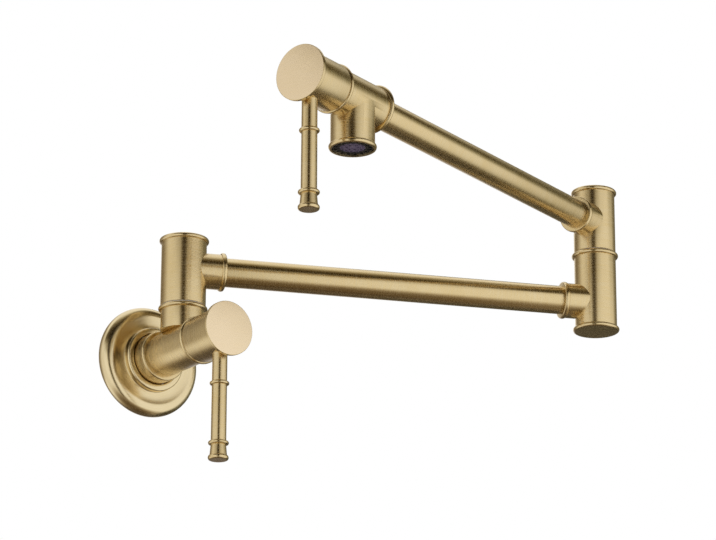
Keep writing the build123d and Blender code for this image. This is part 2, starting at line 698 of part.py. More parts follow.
def aerator_housing():
    """The notched plastic ring that is screwed into the spout."""
    housing = ring(AERATOR_BORE_R, AERATOR_R, AERATOR_TOP, AERATOR_FACE)
    notch = Pos(AERATOR_R, 0, AERATOR_FACE) * Box(
        3 * AERATOR_WALL,
        AERATOR_NOTCH_WIDTH,
        2 * AERATOR_NOTCH_DEPTH,
    )
    for index in range(AERATOR_NOTCHES):
        housing -= Rot(0, 0, index * 360 / AERATOR_NOTCHES) * notch
    return housing


def perforated_disc(start, thickness):
    """A disc for the aerator's bore, drilled with rings of small holes."""
    disc = rod(AERATOR_BORE_R - PUSH_FIT, start, start + thickness)
    for count, radius in zip(JET_COUNTS, JET_RING_RADII):
        for index in range(count):
            angle = index * 360 / count
            hole = Pos(radius, 0, 0) * rod(JET_HOLE_R, start, start + thickness)
            disc -= Rot(0, 0, angle) * hole
    return disc


def aerator_screen():
    return perforated_disc(AERATOR_FACE - SCREEN_RECESS - SCREEN_THICKNESS, SCREEN_THICKNESS)


def aerator_diffuser():
    return perforated_disc(AERATOR_TOP, DIFFUSER_THICKNESS)


def aerator_washer():
    return ring(AERATOR_R - AERATOR_WASHER_WIDTH, AERATOR_R, AERATOR_SEAT, AERATOR_TOP)


# --- The pieces where they lie ---------------------------------------------------------------------


def flange_nodes():
    frame = Plane(origin=(0, 0, 0), x_dir=UP, z_dir=TOWARD_ROOM)
    pieces = {
        "wall_flange": wall_flange(),
        "flange_gasket": flange_gasket(),
        "flange_o_ring": flange_o_ring(),
    }
    return {name: frame * piece for name, piece in pieces.items()}


def valve_nodes(side, frame, barrel_name, barrel):
    pieces = {
        barrel_name: barrel,
        f"{side}_cartridge_body": cartridge_body(),
        f"{side}_cartridge_nut": cartridge_nut(),
        f"{side}_seat_seal": seat_seal(),
        f"{side}_fixed_disc": ceramic_disc(FIXED_DISC_BACK, 0),
        f"{side}_moving_disc": moving_disc(),
        f"{side}_stem": valve_stem(),
        f"{side}_stem_o_ring": stem_o_ring(),
        f"{side}_lever_hub": lever_hub(),
        f"{side}_lever_rod": lever_rod(),
        f"{side}_lever_knob": lever_knob(),
        f"{side}_handle_screw": handle_screw(),
    }
    return {name: frame * piece for name, piece in pieces.items()}


def swivel_nodes(side, origin, stub_top, column_r, sleeve, cap):
    pieces = {
        f"{side}_post": swivel_post(stub_top),
        f"{side}_lower_o_ring": post_seal(-SEAL_SPACING),
        f"{side}_upper_o_ring": post_seal(SEAL_SPACING),
        f"{side}_thrust_washer": thrust_washer(stub_top, column_r),
        f"{side}_retaining_washer": retaining_washer(),
        f"{side}_retaining_screw": retaining_screw(),
        f"{side}_sleeve": sleeve,
        f"{side}_cap": cap,
    }
    return {name: Pos(*origin) * piece for name, piece in pieces.items()}


def shoulder_nodes():
    sleeve = swivel_sleeve(
        SHOULDER_STUB,
        SHOULDER_R,
        SHOULDER_RISE,
        ARM_1_DIRECTION,
        SHOULDER_SOCKET_REACH,
        SHOULDER_SOCKET_BEAD_R,
    )
    cap = column_cap(SHOULDER_R, SHOULDER_RISE, SHOULDER_BEAD_R)
    return swivel_nodes("shoulder", SHOULDER, SHOULDER_STUB, SHOULDER_R, sleeve, cap)


def elbow_nodes():
    sleeve = swivel_sleeve(
        ELBOW_STUB,
        ELBOW_R,
        ELBOW_RISE,
        ARM_2_DIRECTION,
        ELBOW_SOCKET_REACH,
        ELBOW_SOCKET_BEAD_R,
    )
    cap = column_cap(ELBOW_R, ELBOW_RISE, ELBOW_BEAD_R)
    nodes = swivel_nodes("elbow", ELBOW_HIGH, ELBOW_STUB, ELBOW_R, sleeve, cap)
    nodes["elbow_housing"] = Pos(*ELBOW_LOW) * elbow_housing()
    nodes["elbow_plug"] = Pos(*ELBOW_LOW) * elbow_plug()
    return nodes


def arm_nodes():
    arm_1 = arm_frame(SHOULDER, ARM_1_DIRECTION) * arm_tube(ARM_1_LENGTH, SOCKET_FLOOR)
    arm_2 = arm_frame(ELBOW_HIGH, ARM_2_DIRECTION) * arm_tube(ARM_2_LENGTH, SPOUT_SOCKET_FLOOR)
    return {"arm_1_tube": arm_1, "arm_2_tube": arm_2}


def aerator_nodes():
    pieces = {
        "aerator_housing": aerator_housing(),
        "aerator_screen": aerator_screen(),
        "aerator_diffuser": aerator_diffuser(),
        "aerator_washer": aerator_washer(),
    }
    return {name: UPPER_VALVE * (DOWN_FROM_VALVE * piece) for name, piece in pieces.items()}


os.makedirs("parts", exist_ok=True)
ALL_NODES = {
    **flange_nodes(),
    **valve_nodes("lower", LOWER_VALVE, "inlet_body", inlet_body()),
    **shoulder_nodes(),
    **elbow_nodes(),
    **arm_nodes(),
    **valve_nodes("upper", UPPER_VALVE, "spout_body", spout_body()),
    **aerator_nodes(),
}
for node_name, node_shape in ALL_NODES.items():
    export_step(node_shape, f"parts/{node_name}.step")
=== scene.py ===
import json
import math

import bpy
from mathutils import Matrix, Vector

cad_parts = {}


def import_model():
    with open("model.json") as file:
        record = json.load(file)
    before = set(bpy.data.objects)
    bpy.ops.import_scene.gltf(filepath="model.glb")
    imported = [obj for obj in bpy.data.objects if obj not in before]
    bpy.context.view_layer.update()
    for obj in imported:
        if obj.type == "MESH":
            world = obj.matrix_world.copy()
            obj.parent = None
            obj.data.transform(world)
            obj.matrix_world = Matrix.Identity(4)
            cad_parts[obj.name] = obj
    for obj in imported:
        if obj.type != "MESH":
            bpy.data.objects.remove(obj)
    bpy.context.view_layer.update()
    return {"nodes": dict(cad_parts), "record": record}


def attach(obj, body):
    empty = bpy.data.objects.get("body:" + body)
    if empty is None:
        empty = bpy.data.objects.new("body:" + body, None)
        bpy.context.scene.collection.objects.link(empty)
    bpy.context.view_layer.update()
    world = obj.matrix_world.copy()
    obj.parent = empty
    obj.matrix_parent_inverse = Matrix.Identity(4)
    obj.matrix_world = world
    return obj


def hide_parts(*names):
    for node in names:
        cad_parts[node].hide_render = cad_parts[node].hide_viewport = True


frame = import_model()

# A wall mounted pot filler: two swinging arms, two quarter-turn valves with hanging
# levers, a domed wall flange and a short spout. Every length here is in millimetres
# in the frame of the solids, and becomes metres when a mesh is made.

MM = 0.001

# --- Layout -------------------------------------------------------------------
UP = Vector((0, 0, 1))
TOWARD_ROOM = Vector((0, -1, 0))
SHOULDER_REACH = 46.0  # from the wall to the axis of the first swivel
ARM_LENGTH = 272.0  # between the axes at an arm's two ends
ARM_1_HEIGHT = 51.7  # over the axis of the wall thread
ARM_2_RISE = 54.5  # of the upper arm over the lower one
ARM_1_HEADING = -22.1  # degrees from +X
ARM_2_HEADING = 198.5
UPRIGHT = 0.99  # an axis with more Z than this counts as upright


def heading(degrees):
    """The horizontal direction at an angle from +X."""
    angle = math.radians(degrees)
    return Vector((math.cos(angle), math.sin(angle), 0))


def axis_frame(origin, along):
    """A frame whose Z runs along a turned piece's axis. Its X is up, or +Y on an upright axis."""
    z = Vector(along).normalized()
    x = Vector((0, 1, 0)) if abs(z.z) > UPRIGHT else UP.copy()
    y = z.cross(x)
    return Matrix.Translation(Vector(origin)) @ Matrix((x, y, z)).transposed().to_4x4()


def beside(place, direction):
    """A frame on a piece's origin with its Z along another direction."""
    return axis_frame(place.translation, direction)


ARM_1_DIRECTION = heading(ARM_1_HEADING)
ARM_2_DIRECTION = heading(ARM_2_HEADING)
SHOULDER = Vector((0, -SHOULDER_REACH, ARM_1_HEIGHT))
ELBOW_LOW = SHOULDER + ARM_1_DIRECTION * ARM_LENGTH
ELBOW_HIGH = ELBOW_LOW + UP * ARM_2_RISE
SPOUT = ELBOW_HIGH + ARM_2_DIRECTION * ARM_LENGTH
WALL = axis_frame((0, 0, 0), TOWARD_ROOM)
LOWER_VALVE = axis_frame((0, -SHOULDER_REACH, 0), TOWARD_ROOM)
UPPER_VALVE = axis_frame(SPOUT, ARM_2_DIRECTION)
DOWN_SPOUT = beside(UPPER_VALVE, -UP)
HERE = Matrix.Identity(4)

# --- Turned shapes ------------------------------------------------------------
SEGMENTS = 96  # faces round a column
SMALL_SEGMENTS = 64  # round a lever's rod
WIDE_SEGMENTS = 160  # round the flange and the knobs
ROUNDING_STEPS = 5
BEAD_STEPS = 14
CREASE = math.radians(32)  # edges sharper than this stay sharp
EDGE = 0.25  # the small rounding that polishing leaves on an edge
BEYOND = 1.0  # how far a cutting shape runs past the face that it opens
PUSH_FIT = 0.03  # air between a pushed-in piece and its seat
BEAD_WIDTH = 2.9
ARM_BEAD_WIDTH = 3.0
ON_AXIS = 1e-6


def rounded(corners):
    """An outline from corners (radius, height) or (radius, height, rounding)."""
    points = []
    for index, corner in enumerate(corners):
        here = Vector(corner[:2])
        if len(corner) == 2:
            points.append(here)
            continue
        before = Vector(corners[index - 1][:2]) - here
        after = Vector(corners[(index + 1) % len(corners)][:2]) - here
        before.normalize()
        after.normalize()
        half = before.angle(after) / 2
        centre = here + (before + after).normalized() * corner[2] / math.sin(half)
        reach = corner[2] / math.tan(half)
        start = here + before * reach - centre
        end = here + after * reach - centre
        sweep = math.pi - 2 * half
        for step in range(ROUNDING_STEPS + 1):
            share = step / ROUNDING_STEPS
            a = math.sin((1 - share) * sweep) / math.sin(sweep)
            b = math.sin(share * sweep) / math.sin(sweep)
            points.append(centre + start * a + end * b)
    return points


def crown(core, radius, start, width=BEAD_WIDTH):
    """The half-round outline of a bead, upward from one height."""
    points = []
    for step in range(BEAD_STEPS + 1):
        angle = math.pi * (step / BEAD_STEPS - 0.5)
        out = (radius - core) * math.cos(angle)
        points.append((core + out, start + width / 2 * (1 + math.sin(angle))))
    return points


def beaded_end(core, radius, end, width=BEAD_WIDTH):
    """The last of an outline: its wall up to a bead, the bead and the flat end."""
    return [(core, end - width), *crown(core, radius, end - width, width), (0, end)]


def mapped_mesh(name, vertices, faces, maps, layer_name="brush"):
    """A mesh with one map, from the places on it of each face's corners."""
    mesh = bpy.data.meshes.new(name)
    mesh.from_pydata(vertices, [], faces)
    layer = mesh.uv_layers.new(name=layer_name)
    for polygon, corners in zip(mesh.polygons, maps):
        for loop, corner in zip(polygon.loop_indices, corners):
            layer.data[loop].uv = corner
    return mesh


def turned_mesh(name, place, outline, segments=SEGMENTS):
    """A closed mesh turned from an outline that runs outward, up and back to its start.

    Its map "brush" has turns round the axis as u and millimetres along the outline as v."""
    points = rounded(outline)
    rings, vertices = [], []
    for point in points:
        count = 1 if point.x < ON_AXIS else segments
        rings.append(range(len(vertices), len(vertices) + count))
        for k in range(count):
            angle = 2 * math.pi * k / segments
            corner = Vector((point.x * math.cos(angle), point.x * math.sin(angle), point.y))
            vertices.append((place @ corner) * MM)
    faces, maps, length = [], [], 0.0
    for index, low in enumerate(rings):
        high = rings[(index + 1) % len(rings)]
        step = (points[(index + 1) % len(points)] - points[index]).length
        if len(low) == 1 and len(high) == 1:
            continue
        for k in range(segments):
            u0, u1 = k / segments, (k + 1) / segments
            v0, v1 = length, length + step
            after = (k + 1) % segments
            if len(low) == 1:
                faces.append((low[0], high[after], high[k]))
                maps.append(((u0, v0), (u1, v1), (u0, v1)))
            elif len(high) == 1:
                faces.append((low[k], low[after], high[0]))
                maps.append(((u0, v0), (u1, v0), (u0, v1)))
            else:
                faces.append((low[k], low[after], high[after], high[k]))
                maps.append(((u0, v0), (u1, v0), (u1, v1), (u0, v1)))
        length += step
    return mapped_mesh(name, vertices, faces, maps)


def solid_bar(place, radius, start, end):
    return turned_mesh("bar", place, [(0, start), (radius, start), (radius, end), (0, end)])


def in_scene(name, data):
    thing = bpy.data.objects.new(name, data)
    bpy.context.scene.collection.objects.link(thing)
    return thing


def as_made(piece):
    """The plain mesh that a piece's modifiers make of it."""
    bpy.context.view_layer.update()
    graph = bpy.context.evaluated_depsgraph_get()
    return bpy.data.meshes.new_from_object(piece.evaluated_get(graph))


def fitted(base, added=(), cut=()):
    """One closed mesh: a base with meshes added to it and others cut out of it."""
    piece = in_scene("fitted", base)
    tools = []
    for operation, meshes in (("UNION", added), ("DIFFERENCE", cut)):
        for mesh in meshes:
            tool = in_scene("tool", mesh)
            tools.append(tool)
            modifier = piece.modifiers.new(operation, "BOOLEAN")
            modifier.operation = operation
            modifier.solver = "EXACT"
            modifier.object = tool
    result = as_made(piece)
    for thing in (piece, *tools):
        bpy.data.objects.remove(thing)
    return result


def tree_named(name, sizes):
    """A Geometry Nodes tree that takes a mesh, its named sizes (Int or Float) and a finish."""
    tree = bpy.data.node_groups.new(name, "GeometryNodeTree")
    tree.interface.new_socket("Geometry", in_out="INPUT", socket_type="NodeSocketGeometry")
    for size, kind in sizes:
        tree.interface.new_socket(size, in_out="INPUT", socket_type=f"NodeSocket{kind}")
    tree.interface.new_socket("Finish", in_out="INPUT", socket_type="NodeSocketMaterial")
    tree.interface.new_socket("Geometry", in_out="OUTPUT", socket_type="NodeSocketGeometry")
    return tree, add(tree, "NodeGroupInput").outputs


def grown(base, tree, sizes, place):
    """The plain mesh that a tree makes from a base mesh, carried to its place."""
    piece = in_scene("grown", base)
    modifier = piece.modifiers.new(tree.name, "NODES")
    modifier.node_group = tree
    for socket in tree.interface.items_tree:
        if socket.in_out == "INPUT" and socket.name in sizes:
            modifier[socket.identifier] = sizes[socket.name]
    result = as_made(piece)
    bpy.data.objects.remove(piece)
    in_metres = place.copy()
    in_metres.translation *= MM
    result.transform(in_metres)
    return result


def finished(name, mesh, materials, body, node):
    """A piece in its place: smooth, with its finish, riding on its body for its node."""
    mesh.name = name
    mesh.shade_smooth()
    mesh.set_sharp_from_angle(angle=CREASE)
    mesh.materials.clear()
    for material in materials:
        mesh.materials.append(material)
    piece = in_scene(name, mesh)
    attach(piece, body)
    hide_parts(node)


# --- Finishes -----------------------------------------------------------------


def linear(code):
    """A linear colour from an sRGB hex value."""
    channels = [int(code[i:i + 2], 16) / 255 for i in (1, 3, 5)]
    return [c / 12.92 if c <= 0.04045 else ((c + 0.055) / 1.055) ** 2.4 for c in channels] + [1.0]


def add(tree, kind, inputs=None, **settings):
    """A node with its settings, whose inputs are values or other nodes' outputs."""
    node = tree.nodes.new(kind)
    for name, value in settings.items():
        setattr(node, name, value)
    for key, value in (inputs or {}).items():
        if isinstance(value, bpy.types.NodeSocket):
            tree.links.new(value, node.inputs[key])
        else:
            node.inputs[key].default_value = value
    return node


def finish_named(name, colour, metallic, roughness):
    material = bpy.data.materials.new(name)
    material.use_nodes = True
    tree = material.node_tree
    shader = tree.nodes["Principled BSDF"]
    shader.inputs["Base Color"].default_value = linear(colour)
    shader.inputs["Metallic"].default_value = metallic
    shader.inputs["Roughness"].default_value = roughness
    return material, tree, shader


GOLD_PALE = "#E3D0A6"
GOLD_DEEP = "#D6BD88"
FACE_PALE_WITH_PAINTED_HIGHLIGHT = "#F0DCBC"  # the flat faces of the knobs, paler than the turned gold: a painted highlight for the bright reflection they show
FACE_DEEP_WITH_PAINTED_HIGHLIGHT = "#E8D2AC"
RIM_PALE = "#E9D8B2"  # the pressed flange
RIM_DEEP = "#DECB9E"
MEAN_ROUGHNESS = 0.26
DRAWN_OUT = 0.55  # how far the lines pull a reflection out
QUARTER_TURN = 0.25  # it is pulled out across the lines, which follow the tangent
LINES_PER_MM = 2.2  # real lines are finer than a pixel, so they are drawn 0.45 mm apart
LINES_ROUND = 1.6  # how often the lines change in one turn of a piece
LINE_LENGTH = 14.0  # on the flat faces
LINE_HEIGHT = 0.0007  # from groove to crest
LINE_SHARE = 0.7  # of the tone, the rest of which comes in broad clouds
CLOUD_SHARE = 0.3
CLOUD = 18.0  # width of a cloud
NOISE_LOW, NOISE_HIGH = 0.3, 0.7  # nearly all of a noise lies between these


def uneven(tree, shader, gloss, shine, relief, depth):
    """Lets one noise vary a shader's roughness and another raise its surface."""
    rough = add(tree, "ShaderNodeMapRange", {
        "Value": gloss.outputs[0], "From Min": NOISE_LOW, "From Max": NOISE_HIGH,
        "To Min": shine[0], "To Max": shine[1]})
    tree.links.new(rough.outputs[0], shader.inputs["Roughness"])
    bump = add(tree, "ShaderNodeBump", {
        "Height": relief.outputs[0], "Strength": 1.0, "Distance": depth * MM})
    tree.links.new(bump.outputs[0], shader.inputs["Normal"])


def brushed_gold(name, deep, pale, drawn_out, flat=False, shine=(0.22, 0.32)):
    """Brass plated in champagne gold and brushed with an abrasive belt. The fine lines run
    round each turned piece, so they pull its reflections out along the axis and leave the
    light and dark bands of the studio crisp from side to side. Flat faces are brushed
    straight across; the colours given for them are paler than the turned gold, a painted highlight."""
    material, tree, shader = finish_named(name, deep, 1.0, MEAN_ROUGHNESS)
    shader.inputs["Anisotropic"].default_value = drawn_out
    shader.inputs["Anisotropic Rotation"].default_value = QUARTER_TURN
    brush = add(tree, "ShaderNodeUVMap", uv_map="brush")
    sides = add(tree, "ShaderNodeSeparateXYZ", {0: brush.outputs[0]})
    fine = add(tree, "ShaderNodeMath", {0: sides.outputs[1], 1: LINES_PER_MM}, operation="MULTIPLY")
    if flat:
        along = add(
            tree, "ShaderNodeMath", {0: sides.outputs[0], 1: LINE_LENGTH}, operation="DIVIDE")
        lines = add(tree, "ShaderNodeCombineXYZ", {0: along.outputs[0], 1: fine.outputs[0]})
    else:
        turn = add(
            tree, "ShaderNodeMath", {0: sides.outputs[0], 1: 2 * math.pi}, operation="MULTIPLY")
        round_x = add(tree, "ShaderNodeMath", {0: turn.outputs[0]}, operation="COSINE")
        round_y = add(tree, "ShaderNodeMath", {0: turn.outputs[0]}, operation="SINE")
        circle = add(tree, "ShaderNodeCombineXYZ", {0: round_x.outputs[0], 1: round_y.outputs[0]})
        wide = add(tree, "ShaderNodeVectorMath", {
            0: circle.outputs[0], "Scale": LINES_ROUND}, operation="SCALE")
        rise = add(tree, "ShaderNodeCombineXYZ", {2: fine.outputs[0]})
        lines = add(
            tree, "ShaderNodeVectorMath", {0: wide.outputs[0], 1: rise.outputs[0]}, operation="ADD")
        tangent = add(tree, "ShaderNodeTangent", direction_type="UV_MAP", uv_map="brush")
        tree.links.new(tangent.outputs[0], shader.inputs["Tangent"])
    streaks = add(tree, "ShaderNodeTexNoise", {
        "Vector": lines.outputs[0], "Scale": 1.0, "Detail": 4.0, "Roughness": 0.6})
    place = add(tree, "ShaderNodeTexCoord")
    cloud = add(tree, "ShaderNodeTexNoise", {
        "Vector": place.outputs["Object"], "Scale": 1 / (CLOUD * MM), "Detail": 2.0})
    line_tone = add(tree, "ShaderNodeMath", {
        0: streaks.outputs[0], 1: LINE_SHARE, 2: 0.0}, operation="MULTIPLY_ADD")
    tone = add(tree, "ShaderNodeMath", {
        0: cloud.outputs[0], 1: CLOUD_SHARE, 2: line_tone.outputs[0]}, operation="MULTIPLY_ADD")
    ramp = add(tree, "ShaderNodeValToRGB", {0: tone.outputs[0]})
    stops = ramp.color_ramp.elements
    for stop, position, colour in zip(stops, (NOISE_LOW, NOISE_HIGH), (deep, pale)):
        stop.position = position
        stop.color = linear(colour)
    tree.links.new(ramp.outputs[0], shader.inputs["Base Color"])
    uneven(tree, shader, streaks, shine, streaks, LINE_HEIGHT)
    return material


GOLD_TURNED = brushed_gold("brushed_champagne_gold", GOLD_DEEP, GOLD_PALE, DRAWN_OUT)
# The knobs' flat faces: straight brushing, in colours paler than the turned gold that paint in the
# highlight of their bright reflection.
GOLD_FACE_PAINTED_HIGHLIGHT = brushed_gold(
    "brushed_champagne_gold_face_painted_highlight", FACE_DEEP_WITH_PAINTED_HIGHLIGHT, FACE_PALE_WITH_PAINTED_HIGHLIGHT, drawn_out=0.0, flat=True)
# The pressed flange is brushed more finely, so the curves of its rim keep narrow bands.
GOLD_PRESSED = brushed_gold(
    "fine_brushed_champagne_gold", RIM_DEEP, RIM_PALE, drawn_out=0.0, shine=(0.19, 0.26))

BROAD_GRAINS = 12  # width of the broad unevenness, in grains
SUM_LOW, SUM_HIGH = 0.75, 1.25  # nearly all of two added noises lies between these


def speckled(name, dark, pale, metallic, shine, grain, pitting):
    """A finish with an uneven tone and surface. Its shine is the least and the most roughness,
    the grain is a width and the pitting a depth."""
    material, tree, shader = finish_named(name, dark, metallic, shine[1])
    place = add(tree, "ShaderNodeTexCoord")
    fine = add(tree, "ShaderNodeTexNoise", {
        "Vector": place.outputs["Object"], "Scale": 1 / (grain * MM), "Detail": 3.0,
        "Roughness": 0.55})
    broad = add(tree, "ShaderNodeTexNoise", {
        "Vector": place.outputs["Object"], "Scale": 1 / (grain * BROAD_GRAINS * MM),
        "Detail": 2.0})
    both = add(
        tree, "ShaderNodeMath", {0: fine.outputs[0], 1: broad.outputs[0]}, operation="ADD")
    ramp = add(tree, "ShaderNodeMapRange", {
        "Value": both.outputs[0], "From Min": SUM_LOW, "From Max": SUM_HIGH})
    tone = add(tree, "ShaderNodeMix", {
        "Factor": ramp.outputs[0], "A": linear(dark), "B": linear(pale)}, data_type="RGBA")
    tree.links.new(tone.outputs["Result"], shader.inputs["Base Color"])
    uneven(tree, shader, broad, shine, fine, pitting)
    return material


def gold_piece(name, mesh, body, node):
    """A turned piece in brushed gold, which stands for one node."""
    finished(name, mesh, [GOLD_TURNED], body, node)


# --- Wall flange --------------------------------------------------------------
RIM_R = 35.5
RIM_ROUND = 6.1  # radius of the rolled rim's section
RIM_REACH = 6.5  # of that section's centre from the wall
RIM_END = 100  # degrees round the section, where the dip begins
RIM_TUCK = 15  # degrees that the inside is rolled further than the outside
RIM_STEPS = 28
DIP_REACH = 12.1
DIP_ARRIVAL = (-1, 0.15)  # how the dip meets the boss
DIP_STEPS = 16
BOSS_R = 20.7
BOSS_HEIGHT = 16.4
BOSS_FOOT_ROUND = 0.4
BOSS_ROUND = 1.4
BOSS_MOUTH_ROUND = 1.2
FLANGE_WALL = 2.2
FLANGE_FOOT_WIDTH = 2.8
GASKET_THICKNESS = 1.0
SLEEVE_R = 16.0  # of the barrel's sleeve, on which the flange slides
FLANGE_HOLE_R = SLEEVE_R + 0.3
FLANGE_GROOVE_R = 18.26
FLANGE_GROOVE = (10.95, 13.45)


def rim_arc(radius, start, end):
    """Part of the rolled rim's section, between two angles from the wall's direction."""
    points = []
    for step in range(RIM_STEPS + 1):
        angle = math.radians(start + (end - start) * step / RIM_STEPS)
        points.append((
            RIM_R - RIM_ROUND + radius * math.cos(angle), RIM_REACH + radius * math.sin(angle)))
    return points


def easing(start, start_slope, end, end_slope):
    """A smooth line between two points that leaves and arrives with given directions."""
    a, b = Vector(start), Vector(end)
    pull = (b - a).length
    p, q = Vector(start_slope).normalized() * pull, Vector(end_slope).normalized() * pull
    points = []
    for step in range(1, DIP_STEPS):
        t = step / DIP_STEPS
        points.append(
            a * (2 * t**3 - 3 * t**2 + 1) + p * (t**3 - 2 * t**2 + t)
            + b * (3 * t**2 - 2 * t**3) + q * (t**3 - t**2))
    return [(point.x, point.y) for point in points]


def flange_outline():
    drop = math.degrees(math.asin((RIM_REACH - GASKET_THICKNESS) / RIM_ROUND))
    outside = rim_arc(RIM_ROUND, -drop, RIM_END)
    inside = rim_arc(RIM_ROUND - FLANGE_WALL, -drop - RIM_TUCK, RIM_END)
    slope = (-math.sin(math.radians(RIM_END)), math.cos(math.radians(RIM_END)))
    dip = easing(outside[-1], slope, (BOSS_R, DIP_REACH), DIP_ARRIVAL)
    under = DIP_REACH - FLANGE_WALL
    dip_inside = easing(inside[-1], slope, (BOSS_R, under), (-1, 0))
    boss = [
        (BOSS_R, DIP_REACH, BOSS_FOOT_ROUND),
        (BOSS_R, BOSS_HEIGHT, BOSS_ROUND),
        (FLANGE_HOLE_R, BOSS_HEIGHT, BOSS_MOUTH_ROUND),
        (FLANGE_HOLE_R, FLANGE_GROOVE[1]),
        (FLANGE_GROOVE_R, FLANGE_GROOVE[1]),
        (FLANGE_GROOVE_R, FLANGE_GROOVE[0]),
        (FLANGE_HOLE_R, FLANGE_GROOVE[0]),
        (FLANGE_HOLE_R, under),
        (BOSS_R, under),
    ]
    foot = (outside[0][0] - FLANGE_FOOT_WIDTH, GASKET_THICKNESS)
    return [*outside, *dip, *boss, *reversed(dip_inside), *reversed(inside), foot]


finished("domed_wall_flange", turned_mesh("flange", WALL, flange_outline(), WIDE_SEGMENTS),
         [GOLD_PRESSED], "inlet", "wall_flange")

# --- Valve barrels ------------------------------------------------------------
BARREL_R = 13.5
BARREL_BEAD_R = 15.3
SEAM_REACH = 21.9  # from a valve's axis to the seam before its lever
SEAT_DEPTH = 10.0
WATERWAY_R = 5.5
CHAMBER_R = 9.5
NUT_THREAD_R = 11.0
NUT_STEP_REACH = 14.0
SLEEVE_LENGTH = 25.5
SLEEVE_ROUND = 1.1
INLET_BORE_R = 9.3155
INLET_BORE_DEPTH = 15.0
THREAD_PITCH = 1.814  # G 1/2: 14 threads to the inch
THREAD_MAJOR_R = 10.4775
THREAD_STEPS = 10  # faces from one crest to the next
THREAD_MAP_STEP = 0.2  # length of one such face on the map
STUB_R = 13.8
STUB_FOOT = 10.8
STUB_TOP = 26.65
STUB_BEAD_R = 15.5
POST_FOOT_BORE_R = 8.43
POST_FOOT_DEPTH = 9.5
REAR_BEAD_R = 15.2
REAR_REACH = 22.4
SOCKET_FLOOR = 12.4  # where a tube ends, from the axis at its end
TUBE_SEAT_R = 9.18
SPOUT_R = 13.2
SPOUT_DROP = 31.7
SPOUT_BEAD_R = 14.3
AERATOR_THREAD_R = 11.0
AERATOR_SEAT = 20.1  # down the spout, as the face is
AERATOR_FACE = 30.9
AERATOR_FLANGE = 1.5
AERATOR_FLANGE_R = 12.4
FLANGE_SEAT_R = AERATOR_FLANGE_R + 0.05


def valve_chamber(place):
    """The room for the cartridge and for the nut over it."""
    return turned_mesh("chamber", place, [
        (0, -SEAT_DEPTH), (CHAMBER_R, -SEAT_DEPTH), (CHAMBER_R, NUT_STEP_REACH),
        (NUT_THREAD_R, NUT_STEP_REACH), (NUT_THREAD_R, SEAM_REACH + BEYOND),
        (0, SEAM_REACH + BEYOND)])


def threaded_hole(place, start, end):
    """What a G 1/2 tap takes out: a helix with the round crests and roots of a pipe thread."""
    steps = round((end - start) / THREAD_PITCH * THREAD_STEPS)
    vertices, faces, maps = [(place @ Vector((0, 0, start))) * MM], [], []
    for row in range(steps + 1):
        height = start + (end - start) * row / steps
        for k in range(SEGMENTS):
            turn = k / SEGMENTS
            wave = 0.5 - 0.5 * math.cos(2 * math.pi * (height / THREAD_PITCH - turn))
            run_out = min(1.0, (end - height) / THREAD_PITCH)
            radius = INLET_BORE_R + (THREAD_MAJOR_R - INLET_BORE_R) * wave * run_out
            side = 2 * math.pi * turn
            corner = Vector((radius * math.cos(side), radius * math.sin(side), height))
            vertices.append((place @ corner) * MM)
    vertices.append((place @ Vector((0, 0, end))) * MM)
    for k in range(SEGMENTS):
        after = (k + 1) % SEGMENTS
        u0, u1 = k / SEGMENTS, (k + 1) / SEGMENTS
        for row in range(steps):
            low, high = 1 + row * SEGMENTS, 1 + (row + 1) * SEGMENTS
            faces.append((low + k, low + after, high + after, high + k))
            v0, v1 = row * THREAD_MAP_STEP, (row + 1) * THREAD_MAP_STEP
            maps.append(((u0, v0), (u1, v0), (u1, v1), (u0, v1)))
        faces.append((0, 1 + after, 1 + k))
        maps.append(((0, 0), (0, 1), (1, 1)))
        last = 1 + steps * SEGMENTS
        faces.append((last + k, last + after, len(vertices) - 1))
        maps.append(((0, 0), (1, 0), (0, 1)))
    return mapped_mesh("threaded_hole", vertices, faces, maps)


def post_seat(top):
    """The last of a hole's outline, where the foot of a swivel's post is seated."""
    step = top - POST_FOOT_DEPTH
    return [(WATERWAY_R, step), (POST_FOOT_BORE_R, step), (POST_FOOT_BORE_R, top + BEYOND),
            (0, top + BEYOND)]


def inlet_barrel():
    back = -SHOULDER_REACH
    sleeve_end = back + SLEEVE_LENGTH
    barrel = turned_mesh("barrel", LOWER_VALVE, [
        (0, back), (SLEEVE_R, back, EDGE), (SLEEVE_R, sleeve_end, SLEEVE_ROUND),
        (BARREL_R, sleeve_end), *beaded_end(BARREL_R, BARREL_BEAD_R, SEAM_REACH)])
    upward = beside(LOWER_VALVE, UP)
    stub = turned_mesh("stub", upward, [
        (0, STUB_FOOT), (STUB_R, STUB_FOOT, EDGE), *beaded_end(STUB_R, STUB_BEAD_R, STUB_TOP)])
    wall_thread = threaded_hole(LOWER_VALVE, back - BEYOND, back + INLET_BORE_DEPTH)
    wall_water = solid_bar(LOWER_VALVE, WATERWAY_R, back, 0)
    post_hole = turned_mesh("post_hole", upward, [
        (0, 0), (WATERWAY_R, 0), *post_seat(STUB_TOP)])
    return fitted(
        barrel, [stub], [valve_chamber(LOWER_VALVE), wall_thread, wall_water, post_hole])


